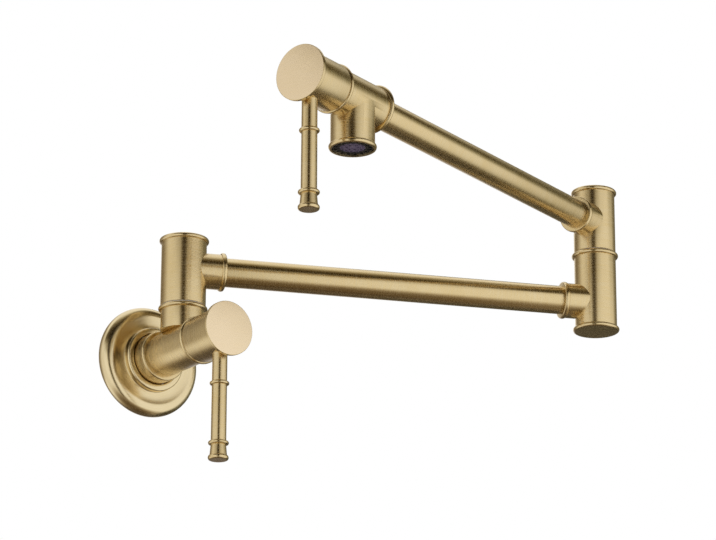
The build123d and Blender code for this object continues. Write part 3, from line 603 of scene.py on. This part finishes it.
def spout_barrel():
    barrel = turned_mesh("barrel", UPPER_VALVE, [
        (0, -REAR_REACH), *crown(BARREL_R, REAR_BEAD_R, -REAR_REACH),
        *beaded_end(BARREL_R, BARREL_BEAD_R, SEAM_REACH)])
    spout = turned_mesh("spout", DOWN_SPOUT, [
        (0, 0), (SPOUT_R, 0), *beaded_end(SPOUT_R, SPOUT_BEAD_R, SPOUT_DROP)])
    arm_hole = turned_mesh("arm_hole", UPPER_VALVE, [
        (0, -REAR_REACH - BEYOND), (TUBE_SEAT_R, -REAR_REACH - BEYOND),
        (TUBE_SEAT_R, -SOCKET_FLOOR), (WATERWAY_R, -SOCKET_FLOOR), (WATERWAY_R, 0), (0, 0)])
    shelf = AERATOR_FACE - AERATOR_FLANGE
    outlet = turned_mesh("outlet", DOWN_SPOUT, [
        (0, 0), (WATERWAY_R, 0), (WATERWAY_R, AERATOR_SEAT), (AERATOR_THREAD_R, AERATOR_SEAT),
        (AERATOR_THREAD_R, shelf), (FLANGE_SEAT_R, shelf), (FLANGE_SEAT_R, SPOUT_DROP + BEYOND),
        (0, SPOUT_DROP + BEYOND)])
    return fitted(barrel, [spout], [valve_chamber(UPPER_VALVE), arm_hole, outlet])


gold_piece("valve_barrel_at_wall", inlet_barrel(), "inlet", "inlet_body")
gold_piece("valve_barrel_over_spout", spout_barrel(), "arm_2", "spout_body")

# --- Columns ------------------------------------------------------------------
# Heights on a column are from the axis of the arm that it carries.
SOCKET_R = 11.3
POST_BORE_R = 5.0
SLEEVE_BORE_R = 10.48
GALLERY_R = 11.38
GALLERY_HALF = 5.5
COUNTERBORE_R = 11.8
COUNTERBORE_FLOOR = 12.75
SPIGOT_BOTTOM = 14.7
SPIGOT_WALL = 2.2
CAP_THICKNESS = 1.3
SWIVEL_LIFT = 0.55  # the washer and half the end play under a swinging column
SHOULDER_R = 14.3
SHOULDER_STUB = STUB_TOP - ARM_1_HEIGHT
SHOULDER_RISE = 19.9
SHOULDER_CAP_BEAD_R = 15.7
SHOULDER_COLLAR_REACH = 25.9
SHOULDER_COLLAR_BEAD_R = 12.3
ELBOW_R = 13.5
ELBOW_STUB = -21.45
ELBOW_RISE = 22.0
ELBOW_CAP_BEAD_R = 14.8
ELBOW_SEAM_BEAD_R = 15.1
ELBOW_COLLAR_REACH = 23.7
ELBOW_COLLAR_BEAD_R = 12.0
ELBOW_TOP = ARM_2_RISE + ELBOW_STUB
ELBOW_BASE = -19.7
ELBOW_BASE_BEAD_R = 15.0
ELBOW_CHAMBER_R = 9.5
ELBOW_CHAMBER_TOP = ELBOW_TOP - 12.0
PLUG_LENGTH = 8.0
PLUG_WALL = 2.0


def collar(place, reach, bead_r):
    return turned_mesh("collar", place, [
        (0, 0), (SOCKET_R, 0), *beaded_end(SOCKET_R, bead_r, reach, ARM_BEAD_WIDTH)])


def collar_hole(place, reach):
    return turned_mesh("collar_hole", place, [
        (0, 0), (POST_BORE_R, 0), (POST_BORE_R, SOCKET_FLOOR), (TUBE_SEAT_R, SOCKET_FLOOR),
        (TUBE_SEAT_R, reach + BEYOND), (0, reach + BEYOND)])


def swinging_column(origin, radius, stub, rise, direction, reach, bead_r):
    """The upper column that turns on its post, with the collar of its arm."""
    bottom, top = stub + SWIVEL_LIFT, rise - BEAD_WIDTH
    upright, arm = axis_frame(origin, UP), axis_frame(origin, direction)
    column = turned_mesh("column", upright, [
        (0, bottom), (radius, bottom, EDGE), (radius, top), (0, top)])
    bore = turned_mesh("bore", upright, [
        (0, bottom - BEYOND), (SLEEVE_BORE_R, bottom - BEYOND), (SLEEVE_BORE_R, -GALLERY_HALF),
        (GALLERY_R, -GALLERY_HALF), (GALLERY_R, GALLERY_HALF), (SLEEVE_BORE_R, GALLERY_HALF),
        (SLEEVE_BORE_R, COUNTERBORE_FLOOR), (COUNTERBORE_R, COUNTERBORE_FLOOR),
        (COUNTERBORE_R, top + BEYOND), (0, top + BEYOND)])
    return fitted(column, [collar(arm, reach, bead_r)], [bore, collar_hole(arm, reach)])


def beaded_cap(origin, radius, rise, bead_r):
    under, spigot_r = rise - BEAD_WIDTH, COUNTERBORE_R - PUSH_FIT
    inner, pocket = spigot_r - SPIGOT_WALL, rise - CAP_THICKNESS
    return turned_mesh("cap", axis_frame(origin, UP), [
        (inner, SPIGOT_BOTTOM), (spigot_r, SPIGOT_BOTTOM), (spigot_r, under),
        *crown(radius, bead_r, under), (0, rise), (0, pocket), (inner, pocket)])


def elbow_lower_column():
    upright, arm = axis_frame(ELBOW_LOW, UP), axis_frame(ELBOW_LOW, -ARM_1_DIRECTION)
    bottom = ELBOW_BASE + BEAD_WIDTH
    column = turned_mesh("column", upright, [
        (0, bottom), (ELBOW_R, bottom, EDGE), *beaded_end(ELBOW_R, ELBOW_SEAM_BEAD_R, ELBOW_TOP)])
    hollow = turned_mesh("hollow", upright, [
        (0, bottom - BEYOND), (ELBOW_CHAMBER_R, bottom - BEYOND),
        (ELBOW_CHAMBER_R, ELBOW_CHAMBER_TOP), (WATERWAY_R, ELBOW_CHAMBER_TOP),
        *post_seat(ELBOW_TOP)])
    return fitted(column, [collar(arm, ELBOW_COLLAR_REACH, ELBOW_COLLAR_BEAD_R)],
                  [hollow, collar_hole(arm, ELBOW_COLLAR_REACH)])


def elbow_base_plug():
    shelf = ELBOW_BASE + BEAD_WIDTH
    plug_r, plug_top = ELBOW_CHAMBER_R - PUSH_FIT, shelf + PLUG_LENGTH
    return turned_mesh("plug", axis_frame(ELBOW_LOW, UP), [
        (0, ELBOW_BASE), *crown(ELBOW_R, ELBOW_BASE_BEAD_R, ELBOW_BASE), (plug_r, shelf),
        (plug_r, plug_top), (plug_r - PLUG_WALL, plug_top), (plug_r - PLUG_WALL, shelf),
        (0, shelf)])


gold_piece(
    "shoulder_column",
    swinging_column(SHOULDER, SHOULDER_R, SHOULDER_STUB, SHOULDER_RISE,
                    ARM_1_DIRECTION, SHOULDER_COLLAR_REACH, SHOULDER_COLLAR_BEAD_R),
    "arm_1", "shoulder_sleeve")
gold_piece(
    "shoulder_beaded_cap",
    beaded_cap(SHOULDER, SHOULDER_R, SHOULDER_RISE, SHOULDER_CAP_BEAD_R),
    "arm_1", "shoulder_cap")
gold_piece(
    "elbow_upper_column",
    swinging_column(ELBOW_HIGH, ELBOW_R, ELBOW_STUB, ELBOW_RISE,
                    ARM_2_DIRECTION, ELBOW_COLLAR_REACH, ELBOW_COLLAR_BEAD_R),
    "arm_2", "elbow_sleeve")
gold_piece(
    "elbow_beaded_cap",
    beaded_cap(ELBOW_HIGH, ELBOW_R, ELBOW_RISE, ELBOW_CAP_BEAD_R),
    "arm_2", "elbow_cap")
gold_piece("elbow_lower_column", elbow_lower_column(), "arm_1", "elbow_housing")
gold_piece("elbow_base_plug", elbow_base_plug(), "arm_1", "elbow_plug")

# --- Arms ---------------------------------------------------------------------
TUBE_R = 9.15
TUBE_BORE_R = 7.95


def arm_mesh(origin, direction):
    start, end = SOCKET_FLOOR + PUSH_FIT, ARM_LENGTH - SOCKET_FLOOR - PUSH_FIT
    return turned_mesh("tube", axis_frame(origin, direction), [
        (TUBE_BORE_R, start), (TUBE_R, start, EDGE), (TUBE_R, end, EDGE), (TUBE_BORE_R, end)])


gold_piece("arm_1", arm_mesh(SHOULDER, ARM_1_DIRECTION), "arm_1", "arm_1_tube")
gold_piece("arm_2", arm_mesh(ELBOW_HIGH, ARM_2_DIRECTION), "arm_2", "arm_2_tube")

# --- Levers -------------------------------------------------------------------
# Reaches are along the valve's axis, and places on a rod are from that axis down.
HUB_R = 14.65
HUB_BACK = 22.2
HUB_CAVITY_R = 11.8
HUB_WEB_REACH = 32.0
STEM_SQUARE = 6.06
STEM_HOLE_END = 39.3
SCREW_SEAT = 42.3
SCREW_R = 2.08
SCREW_HEAD_R = 4.5
KNOB_R = 17.2
KNOB_REACH = 52.7
KNOB_BACK = 50.4
KNOB_EDGE = 0.35
KNOB_RECESS = 48.4
KNOB_SPIGOT_R = 12.0
KNOB_WALL = 3.0
ON_FACE = 0.01  # how near the front a corner of the flat face lies
ROD_REACH = 42.95
ROD_SEAT = 12.9
ROD_TAIL_TOP = 7.0
ROD_TAIL_R = 3.4
TAIL_CLEARANCE = 0.5
ROD_R = 4.6
ROD_END_R = 4.75
ROD_LENGTH = 81.7
BEAD_1, BEAD_1_R, BEAD_1_WIDTH = 33.2, 6.05, 2.4
BEAD_2, BEAD_2_R, BEAD_2_WIDTH = 71.0, 6.4, 2.6
FLARE_R, FLARE_RIM_R, FLARE_RIM_WIDTH = 5.4, 6.4, 2.9
ROD_TIP_R = 4.9


def lever_hub_mesh(place):
    hub = turned_mesh("hub", place, [
        (HUB_CAVITY_R, HUB_BACK), (HUB_R, HUB_BACK, EDGE), (HUB_R, KNOB_BACK),
        (KNOB_SPIGOT_R, KNOB_BACK), (KNOB_SPIGOT_R, KNOB_RECESS), (SCREW_HEAD_R, KNOB_RECESS),
        (SCREW_HEAD_R, SCREW_SEAT), (SCREW_R, SCREW_SEAT), (SCREW_R, HUB_WEB_REACH),
        (HUB_CAVITY_R, HUB_WEB_REACH)])
    down = axis_frame(place @ Vector((0, 0, ROD_REACH)), -UP)
    tail_r, shank_r = ROD_TAIL_R + PUSH_FIT, ROD_R + PUSH_FIT
    tail_end = ROD_TAIL_TOP - TAIL_CLEARANCE
    rod_hole = turned_mesh("rod_hole", down, [
        (0, tail_end), (tail_r, tail_end), (tail_r, ROD_SEAT), (shank_r, ROD_SEAT),
        (shank_r, HUB_R + BEYOND), (0, HUB_R + BEYOND)])
    square_r = STEM_SQUARE / math.sqrt(2)
    square = turned_mesh("square", place, [
        (0, HUB_WEB_REACH - BEYOND), (square_r, HUB_WEB_REACH - BEYOND),
        (square_r, STEM_HOLE_END), (0, STEM_HOLE_END)], segments=4)
    return fitted(hub, cut=[rod_hole, square])


def lever_rod_mesh(place):
    """The hanging rod: a tail, whose thread is left smooth, two beads and a flared, rimmed end."""
    down = axis_frame(place @ Vector((0, 0, ROD_REACH)), -UP)
    first, second = BEAD_1 - BEAD_1_WIDTH / 2, BEAD_2 - BEAD_2_WIDTH / 2
    taper = (ROD_END_R - ROD_R) / (BEAD_2 - ROD_SEAT)
    core = ROD_R + taper * (first - ROD_SEAT)
    return turned_mesh("rod", down, [
        (0, ROD_TAIL_TOP), (ROD_TAIL_R, ROD_TAIL_TOP, EDGE), (ROD_TAIL_R, ROD_SEAT),
        (ROD_R, ROD_SEAT), *crown(core, BEAD_1_R, first, BEAD_1_WIDTH),
        *crown(ROD_END_R, BEAD_2_R, second, BEAD_2_WIDTH),
        *crown(FLARE_R, FLARE_RIM_R, ROD_LENGTH - FLARE_RIM_WIDTH, FLARE_RIM_WIDTH),
        (ROD_TIP_R, ROD_LENGTH), (0, ROD_LENGTH)], SMALL_SEGMENTS)


def lever_knob_mesh(place):
    """The flat round front, whose face has its own finish, paler with a painted highlight, and is
    mapped straight across.
    """
    spigot_r, spigot_back = KNOB_SPIGOT_R - PUSH_FIT, KNOB_RECESS + PUSH_FIT
    inner = spigot_r - KNOB_WALL
    mesh = turned_mesh("knob", place, [
        (0, KNOB_BACK), (inner, KNOB_BACK), (inner, spigot_back), (spigot_r, spigot_back),
        (spigot_r, KNOB_BACK), (KNOB_R, KNOB_BACK, KNOB_EDGE), (KNOB_R, KNOB_REACH, KNOB_EDGE),
        (0, KNOB_REACH)], WIDE_SEGMENTS)
    layer = mesh.uv_layers["brush"].data
    back = place.inverted()
    for polygon in mesh.polygons:
        corners = [back @ (mesh.vertices[v].co / MM) for v in polygon.vertices]
        if min(corner.z for corner in corners) > KNOB_REACH - ON_FACE:
            polygon.material_index = 1
            for loop, corner in zip(polygon.loop_indices, corners):
                layer[loop].uv = (corner.y, corner.x)
    return mesh


for side, place in (("lower", LOWER_VALVE), ("upper", UPPER_VALVE)):
    lever = f"{side}_lever"
    gold_piece(f"{side}_hub", lever_hub_mesh(place), lever, f"{lever}_hub")
    gold_piece(f"{side}_hanging_rod", lever_rod_mesh(place), lever, f"{lever}_rod")
    knob = lever_knob_mesh(place)
    faces = [polygon.material_index for polygon in knob.polygons]
    # The second finish, on the flat face, is paler: a painted highlight.
    finished(f"{side}_knob", knob, [GOLD_TURNED, GOLD_FACE_PAINTED_HIGHLIGHT], lever, f"{lever}_knob")
    for polygon, index in zip(knob.polygons, faces):
        polygon.material_index = index

# --- Aerator ------------------------------------------------------------------
# Heights are measured down the spout.
AERATOR_R = 10.97
AERATOR_BORE_R = 9.37
AERATOR_TOP = 21.9
AERATOR_LIP_R = 7.6
NOTCHES = 16
NOTCH_R = 10.2  # middle of the notches
NOTCH_LENGTH = 2.2
NOTCH_WIDTH = 1.7
NOTCH_DEPTH = 1.2
SPRAY_FACE = 30.3
SPRAY_THICKNESS = 1.6
INNER_JETS, INNER_JETS_R = 6, 3.6
OUTER_JETS, OUTER_JETS_R = 12, 6.4
JET_R = 1.0
JET_SIDES = 20
JET_LIP = 0.7  # width of the soft lip round each jet, which stands half that high
LIP_SIDES = 10
DRILL_LENGTH = 8.0  # more than the disc is thick

# The ring round the jets: nearly black, satin from its mould.
BLACK_ACETAL = speckled(
    "moulded_black_acetal", "#0E0E10", "#1A1A1D", 0.0, (0.34, 0.5), 0.8, 0.01)
# The face with the jets: soft, dull, grey with a breath of violet.
SPRAY_SILICONE = speckled(
    "moulded_grey_silicone", "#5E5067", "#6C5D76", 0.0, (0.45, 0.62), 1.2, 0.012)


def notched_ring_tree():
    """Cuts a key's notches round the face of a ring."""
    tree, sizes = tree_named("notched_ring", (
        ("Notches", "Int"), ("Ring Radius", "Float"), ("Face", "Float"),
        ("Notch Length", "Float"), ("Notch Width", "Float"), ("Notch Depth", "Float")))
    circle = add(tree, "GeometryNodeMeshCircle", {
        "Vertices": sizes["Notches"], "Radius": sizes["Ring Radius"]})
    height = add(tree, "ShaderNodeCombineXYZ", {2: sizes["Face"]})
    spots = add(tree, "GeometryNodeSetPosition", {
        "Geometry": circle.outputs[0], "Offset": height.outputs[0]})
    block = add(tree, "ShaderNodeCombineXYZ", {
        0: sizes["Notch Length"], 1: sizes["Notch Width"], 2: sizes["Notch Depth"]})
    cube = add(tree, "GeometryNodeMeshCube", {"Size": block.outputs[0]})
    index = add(tree, "GeometryNodeInputIndex")
    step = add(
        tree, "ShaderNodeMath", {0: 2 * math.pi, 1: sizes["Notches"]}, operation="DIVIDE")
    angle = add(
        tree, "ShaderNodeMath", {0: index.outputs[0], 1: step.outputs[0]}, operation="MULTIPLY")
    turn = add(tree, "ShaderNodeCombineXYZ", {2: angle.outputs[0]})
    blocks = add(tree, "GeometryNodeInstanceOnPoints", {
        "Points": spots.outputs[0], "Instance": cube.outputs[0], "Rotation": turn.outputs[0]})
    solid = add(tree, "GeometryNodeRealizeInstances", {0: blocks.outputs[0]})
    cut = add(tree, "GeometryNodeMeshBoolean", {0: sizes["Geometry"], 1: solid.outputs[0]},
              operation="DIFFERENCE", solver="EXACT")
    coated = add(tree, "GeometryNodeSetMaterial", {
        "Geometry": cut.outputs[0], "Material": sizes["Finish"]})
    add(tree, "NodeGroupOutput", {0: coated.outputs[0]})
    return tree


def spray_face_tree():
    """Pierces two rings of jets through a disc and puts a soft round lip on each."""
    tree, sizes = tree_named("spray_face", (
        ("Inner Jets", "Int"), ("Inner Radius", "Float"), ("Outer Jets", "Int"),
        ("Outer Radius", "Float"), ("Jet Radius", "Float"), ("Lip Width", "Float"),
        ("Face", "Float")))
    inner = add(tree, "GeometryNodeMeshCircle", {
        "Vertices": sizes["Inner Jets"], "Radius": sizes["Inner Radius"]})
    outer = add(tree, "GeometryNodeMeshCircle", {
        "Vertices": sizes["Outer Jets"], "Radius": sizes["Outer Radius"]})
    rings = add(tree, "GeometryNodeJoinGeometry", {0: inner.outputs[0]})
    tree.links.new(outer.outputs[0], rings.inputs[0])
    height = add(tree, "ShaderNodeCombineXYZ", {2: sizes["Face"]})
    spots = add(tree, "GeometryNodeSetPosition", {
        "Geometry": rings.outputs[0], "Offset": height.outputs[0]})
    drill = add(tree, "GeometryNodeMeshCylinder", {
        "Vertices": JET_SIDES, "Radius": sizes["Jet Radius"], "Depth": DRILL_LENGTH * MM})
    drills = add(tree, "GeometryNodeInstanceOnPoints", {
        "Points": spots.outputs[0], "Instance": drill.outputs[0]})
    solid = add(tree, "GeometryNodeRealizeInstances", {0: drills.outputs[0]})
    pierced = add(tree, "GeometryNodeMeshBoolean", {0: sizes["Geometry"], 1: solid.outputs[0]},
                  operation="DIFFERENCE", solver="EXACT")
    half = add(tree, "ShaderNodeMath", {0: sizes["Lip Width"], 1: 0.5}, operation="MULTIPLY")
    middle = add(
        tree, "ShaderNodeMath", {0: sizes["Jet Radius"], 1: half.outputs[0]}, operation="ADD")
    round_jet = add(tree, "GeometryNodeCurvePrimitiveCircle", {
        "Resolution": JET_SIDES, "Radius": middle.outputs[0]})
    section = add(tree, "GeometryNodeCurvePrimitiveCircle", {
        "Resolution": LIP_SIDES, "Radius": half.outputs[0]})
    lip = add(tree, "GeometryNodeCurveToMesh", {0: round_jet.outputs[0], 1: section.outputs[0]})
    lips = add(tree, "GeometryNodeInstanceOnPoints", {
        "Points": spots.outputs[0], "Instance": lip.outputs[0]})
    raised = add(tree, "GeometryNodeRealizeInstances", {0: lips.outputs[0]})
    whole = add(tree, "GeometryNodeJoinGeometry", {0: pierced.outputs[0]})
    tree.links.new(raised.outputs[0], whole.inputs[0])
    coated = add(tree, "GeometryNodeSetMaterial", {
        "Geometry": whole.outputs[0], "Material": sizes["Finish"]})
    add(tree, "NodeGroupOutput", {0: coated.outputs[0]})
    return tree


def notched_ring_mesh():
    shelf, lip_back = AERATOR_FACE - AERATOR_FLANGE, SPRAY_FACE + PUSH_FIT
    ring = turned_mesh("ring", HERE, [
        (AERATOR_BORE_R, AERATOR_TOP), (AERATOR_R, AERATOR_TOP, EDGE), (AERATOR_R, shelf),
        (AERATOR_FLANGE_R, shelf), (AERATOR_FLANGE_R, AERATOR_FACE, EDGE),
        (AERATOR_LIP_R, AERATOR_FACE, EDGE), (AERATOR_LIP_R, lip_back),
        (AERATOR_BORE_R, lip_back)])
    return grown(ring, notched_ring_tree(), {
        "Notches": NOTCHES, "Ring Radius": NOTCH_R * MM, "Face": AERATOR_FACE * MM,
        "Notch Length": NOTCH_LENGTH * MM, "Notch Width": NOTCH_WIDTH * MM,
        "Notch Depth": 2 * NOTCH_DEPTH * MM, "Finish": BLACK_ACETAL}, DOWN_SPOUT)


def spray_face_mesh():
    disc = solid_bar(HERE, AERATOR_BORE_R - PUSH_FIT, SPRAY_FACE - SPRAY_THICKNESS, SPRAY_FACE)
    return grown(disc, spray_face_tree(), {
        "Inner Jets": INNER_JETS, "Inner Radius": INNER_JETS_R * MM,
        "Outer Jets": OUTER_JETS, "Outer Radius": OUTER_JETS_R * MM,
        "Jet Radius": JET_R * MM, "Lip Width": JET_LIP * MM, "Face": SPRAY_FACE * MM,
        "Finish": SPRAY_SILICONE}, DOWN_SPOUT)


finished("aerator_notched_ring", notched_ring_mesh(), [BLACK_ACETAL], "arm_2",
         "aerator_housing")
finished("aerator_spray_face", spray_face_mesh(), [SPRAY_SILICONE], "arm_2",
         "aerator_screen")

# --- Inner pieces -------------------------------------------------------------
# Their solids have the right shape and stay, each with the finish of what it is made of.
INNER_FINISHES = {
    # Free-cutting brass off a lathe: yellow, bright, with a faint matt grain.
    "plain_brass": speckled(
        "turned_brass", "#B98F45", "#D9B56C", 1.0, (0.2, 0.36), 0.35, 0.002),
    # Screws and retaining washers: cold grey steel with a slightly uneven shine.
    "stainless_steel": speckled(
        "turned_stainless_steel", "#9C9A96", "#C2C0BC", 1.0, (0.22, 0.38), 0.3, 0.002),
    # O-rings and gaskets: nearly black, dull, with the fine pitting of a moulded compound.
    "black_rubber": speckled(
        "moulded_nitrile_rubber", "#121213", "#202021", 0.0, (0.5, 0.72), 0.5, 0.015),
    # Thrust washers: waxy white with faint skiving marks.
    "white_ptfe": speckled(
        "skived_ptfe", "#E3E1DA", "#F1EFEA", 0.0, (0.38, 0.52), 0.9, 0.004),
    # Valve discs: ivory, lapped flat until they nearly mirror.
    "white_ceramic": speckled(
        "lapped_alumina_ceramic", "#E9E2D2", "#F4EFE4", 0.0, (0.1, 0.18), 1.5, 0.0005),
    "aerator_black": BLACK_ACETAL,
    "aerator_grey": SPRAY_SILICONE,
}
for part in frame["record"]["subparts"]:
    if part["material_slot"] in INNER_FINISHES:
        for holder in frame["nodes"][part["node"]].material_slots:
            holder.material = INNER_FINISHES[part["material_slot"]]

# --- Studio -------------------------------------------------------------------
# The camera stands to the left and below, 2.1 m away. Its angles are in radians.
CAMERA_PLACE = Vector((-1079.0333, -1714.3434, -607.3096)) * MM
CAMERA_TURN = 0.629356949  # from facing the wall squarely
CAMERA_TILT = 0.320758338  # upward
CAMERA_ROLL = 0.004093913
CAMERA_LENS = 166.93
CAMERA_SENSOR = 36.0
CAMERA_NEAR, CAMERA_FAR = 0.05, 60.0  # metres
CAMERA_AZIMUTH = -90 - math.degrees(CAMERA_TURN)
OBJECT_MIDDLE = Vector((105, -135, 35)) * MM


def camera():
    across = Vector((math.sin(CAMERA_TURN), math.cos(CAMERA_TURN), 0))
    right = Vector((math.cos(CAMERA_TURN), -math.sin(CAMERA_TURN), 0))
    sight = across * math.cos(CAMERA_TILT) + UP * math.sin(CAMERA_TILT)
    top = UP * math.cos(CAMERA_TILT) - across * math.sin(CAMERA_TILT)
    right, top = (right * math.cos(CAMERA_ROLL) + top * math.sin(CAMERA_ROLL),
                  top * math.cos(CAMERA_ROLL) - right * math.sin(CAMERA_ROLL))
    data = bpy.data.cameras.new("camera")
    data.lens = CAMERA_LENS
    data.sensor_width = CAMERA_SENSOR
    data.clip_start, data.clip_end = CAMERA_NEAR, CAMERA_FAR
    thing = in_scene("camera", data)
    turn = Matrix((right, top, -sight)).transposed().to_4x4()
    thing.matrix_world = Matrix.Translation(CAMERA_PLACE) @ turn
    bpy.context.scene.camera = thing


camera()


def out_from_object(side, rise):
    """A direction, in degrees to the right of the camera's side and above the horizon."""
    angle = math.radians(rise)
    return heading(CAMERA_AZIMUTH + side) * math.cos(angle) + UP * math.sin(angle)


CARD_STEPS = 16
HARD_EDGE = 1e-4  # the least width that an edge fades over


def card(name, colour, sides, heights, feather, distance=2.2):
    """A tinted card with soft edges that only reflections see, as dark cloth is hung round
    polished metal in a studio. Sides and heights are in the degrees of out_from_object, and
    feather gives the width of the soft left, right, low and high edge."""
    vertices, spots, faces = [], [], []
    for i in range(CARD_STEPS + 1):
        for j in range(CARD_STEPS + 1):
            u, v = i / CARD_STEPS, j / CARD_STEPS
            side = sides[0] + (sides[1] - sides[0]) * u
            rise = heights[0] + (heights[1] - heights[0]) * v
            vertices.append(OBJECT_MIDDLE + out_from_object(side, rise) * distance)
            spots.append((u, v))
    for i in range(CARD_STEPS):
        for j in range(CARD_STEPS):
            low = i * (CARD_STEPS + 1) + j
            high = low + CARD_STEPS + 1
            faces.append((low, low + 1, high + 1, high))
    maps = [[spots[corner] for corner in face] for face in faces]
    mesh = mapped_mesh(name, vertices, faces, maps, "spread")
    material = bpy.data.materials.new(name)
    material.use_nodes = True
    tree = material.node_tree
    tree.nodes.clear()
    place = add(tree, "ShaderNodeUVMap", uv_map="spread")
    axes = add(tree, "ShaderNodeSeparateXYZ", {0: place.outputs[0]})
    cover = 1.0
    for axis, (low, high), soft in ((0, sides, feather[:2]), (1, heights, feather[2:])):
        for edge, width in zip((0.0, 1.0), soft):
            reach = width / (high - low) + HARD_EDGE
            fade = add(tree, "ShaderNodeMapRange", {
                "Value": axes.outputs[axis], "From Min": edge, "From Max": abs(edge - reach)},
                interpolation_type="SMOOTHSTEP")
            both = add(
                tree, "ShaderNodeMath", {0: fade.outputs[0], 1: cover}, operation="MULTIPLY")
            cover = both.outputs[0]
    depth = add(tree, "ShaderNodeGamma", {"Color": linear(colour), "Gamma": cover})
    tint = add(tree, "ShaderNodeBsdfTransparent", {"Color": depth.outputs[0]})
    add(tree, "ShaderNodeOutputMaterial", {0: tint.outputs[0]})
    mesh.materials.append(material)
    sheet = in_scene(name, mesh)
    for ray in ("camera", "diffuse", "shadow", "transmission", "volume_scatter"):
        setattr(sheet, f"visible_{ray}", False)


# On the camera's side: the dark bands down the columns, the barrels and the rods.
card("card_front", "#312410", (-25, 16), (0, 60), (20, 22, 12, 14), 1.0)
card("card_front_low", "#4B3F24", (-19, 11), (-64, 12), (12, 12, 20, 12), 1.0)
card("card_front_wide", "#9E9888", (-64, 44), (9, 60), (42, 42, 14, 14), 1.2)
# Overhead and below: the dark upper edges and undersides of the arms.
card("card_gap", "#4A3E26", (-80, 130), (26, 88), (24, 24, 13, 44), 2.3)
card("card_floor", "#665640", (0, 360), (-90, -34), (0, 0, 0, 42), 2.3)
# To the left, to the right and behind: the greys toward the edges of the turned pieces.
card("card_left", "#F0EEEA", (-112, -40), (-50, 50), (20, 20, 20, 14))
card("card_left_end", "#867C6C", (-160, -80), (-22, 50), (18, 50, 16, 14))
card("card_left_low", "#867C6C", (-180, -118), (-60, -8), (0, 30, 14, 14))
card("card_right_high", "#7A7660", (74, 136), (9, 40), (26, 18, 24, 14))
card("card_right_low", "#9E978A", (108, 164), (-54, -20), (20, 20, 14, 14))
card("card_right_end", "#7A7664", (104, 180), (-56, 50), (30, 0, 18, 14))
card("card_back_low", "#BBB9C0", (132, 228), (-80, 6), (22, 22, 0, 12))

FLOOR_SIDES = 64
FLOOR_RADIUS = 25.0  # metres, so that its edge lies near the horizon
FLOOR_DROP = 1300.0  # such a tap is fixed about this far above the floor
FLOOR_GLOW = 0.25  # what the camera alone sees added, to lift the floor toward white


def floor():
    material, tree, shader = finish_named(
        "matte_white_floor", "#F4F4F2", metallic=0.0, roughness=0.9)
    shader.inputs["Specular IOR Level"].default_value = 0.0
    shader.inputs["Emission Color"].default_value = (1, 1, 1, 1)
    path = add(tree, "ShaderNodeLightPath")
    seen = add(tree, "ShaderNodeMath", {
        0: path.outputs["Is Camera Ray"], 1: FLOOR_GLOW}, operation="MULTIPLY")
    tree.links.new(seen.outputs[0], shader.inputs["Emission Strength"])
    mesh = bpy.data.meshes.new("floor")
    edge = [heading(360 * k / FLOOR_SIDES) * FLOOR_RADIUS - UP * FLOOR_DROP * MM
            for k in range(FLOOR_SIDES)]
    mesh.from_pydata(edge, [], [range(FLOOR_SIDES)])
    mesh.materials.append(material)
    ground = in_scene("floor", mesh)
    ground.visible_glossy = False


floor()

WORLD_LIGHT = 0.6  # what the world gives matt surfaces
WORLD_WHITE = 1.0  # what the camera and reflections see


def world():
    sky = bpy.data.worlds.new("studio")
    bpy.context.scene.world = sky
    sky.use_nodes = True
    tree = sky.node_tree
    tree.nodes.clear()
    path = add(tree, "ShaderNodeLightPath")
    seen = add(tree, "ShaderNodeMath", {
        0: path.outputs["Is Camera Ray"], 1: path.outputs["Is Glossy Ray"]},
        operation="MAXIMUM")
    seen_through = add(tree, "ShaderNodeMath", {
        0: seen.outputs[0], 1: path.outputs["Is Transmission Ray"]}, operation="MAXIMUM")
    light = add(tree, "ShaderNodeBackground", {"Color": (1, 1, 1, 1), "Strength": WORLD_LIGHT})
    white = add(tree, "ShaderNodeBackground", {"Color": (1, 1, 1, 1), "Strength": WORLD_WHITE})
    mix = add(tree, "ShaderNodeMixShader", {
        0: seen_through.outputs[0], 1: light.outputs[0], 2: white.outputs[0]})
    add(tree, "ShaderNodeOutputWorld", {0: mix.outputs[0]})


world()


def softbox(name, side, rise, distance, size, power):
    """A square soft lamp that shines at the object: metres away, metres wide, and its watts."""
    data = bpy.data.lights.new(name, "AREA")
    data.shape = "SQUARE"
    data.size = size
    data.energy = power
    lamp = in_scene(name, data)
    lamp.visible_glossy = False
    out = out_from_object(side, rise)
    lamp.location = OBJECT_MIDDLE + out * distance
    lamp.rotation_mode = "QUATERNION"
    lamp.rotation_quaternion = (-out).to_track_quat("-Z", "Y")


softbox("softbox_top", 0, 80, 1.9, 1.6, 9.0)
softbox("softbox_right", 62, 12, 1.9, 1.0, 3.5)

bpy.context.scene.view_settings.view_transform = "Standard"
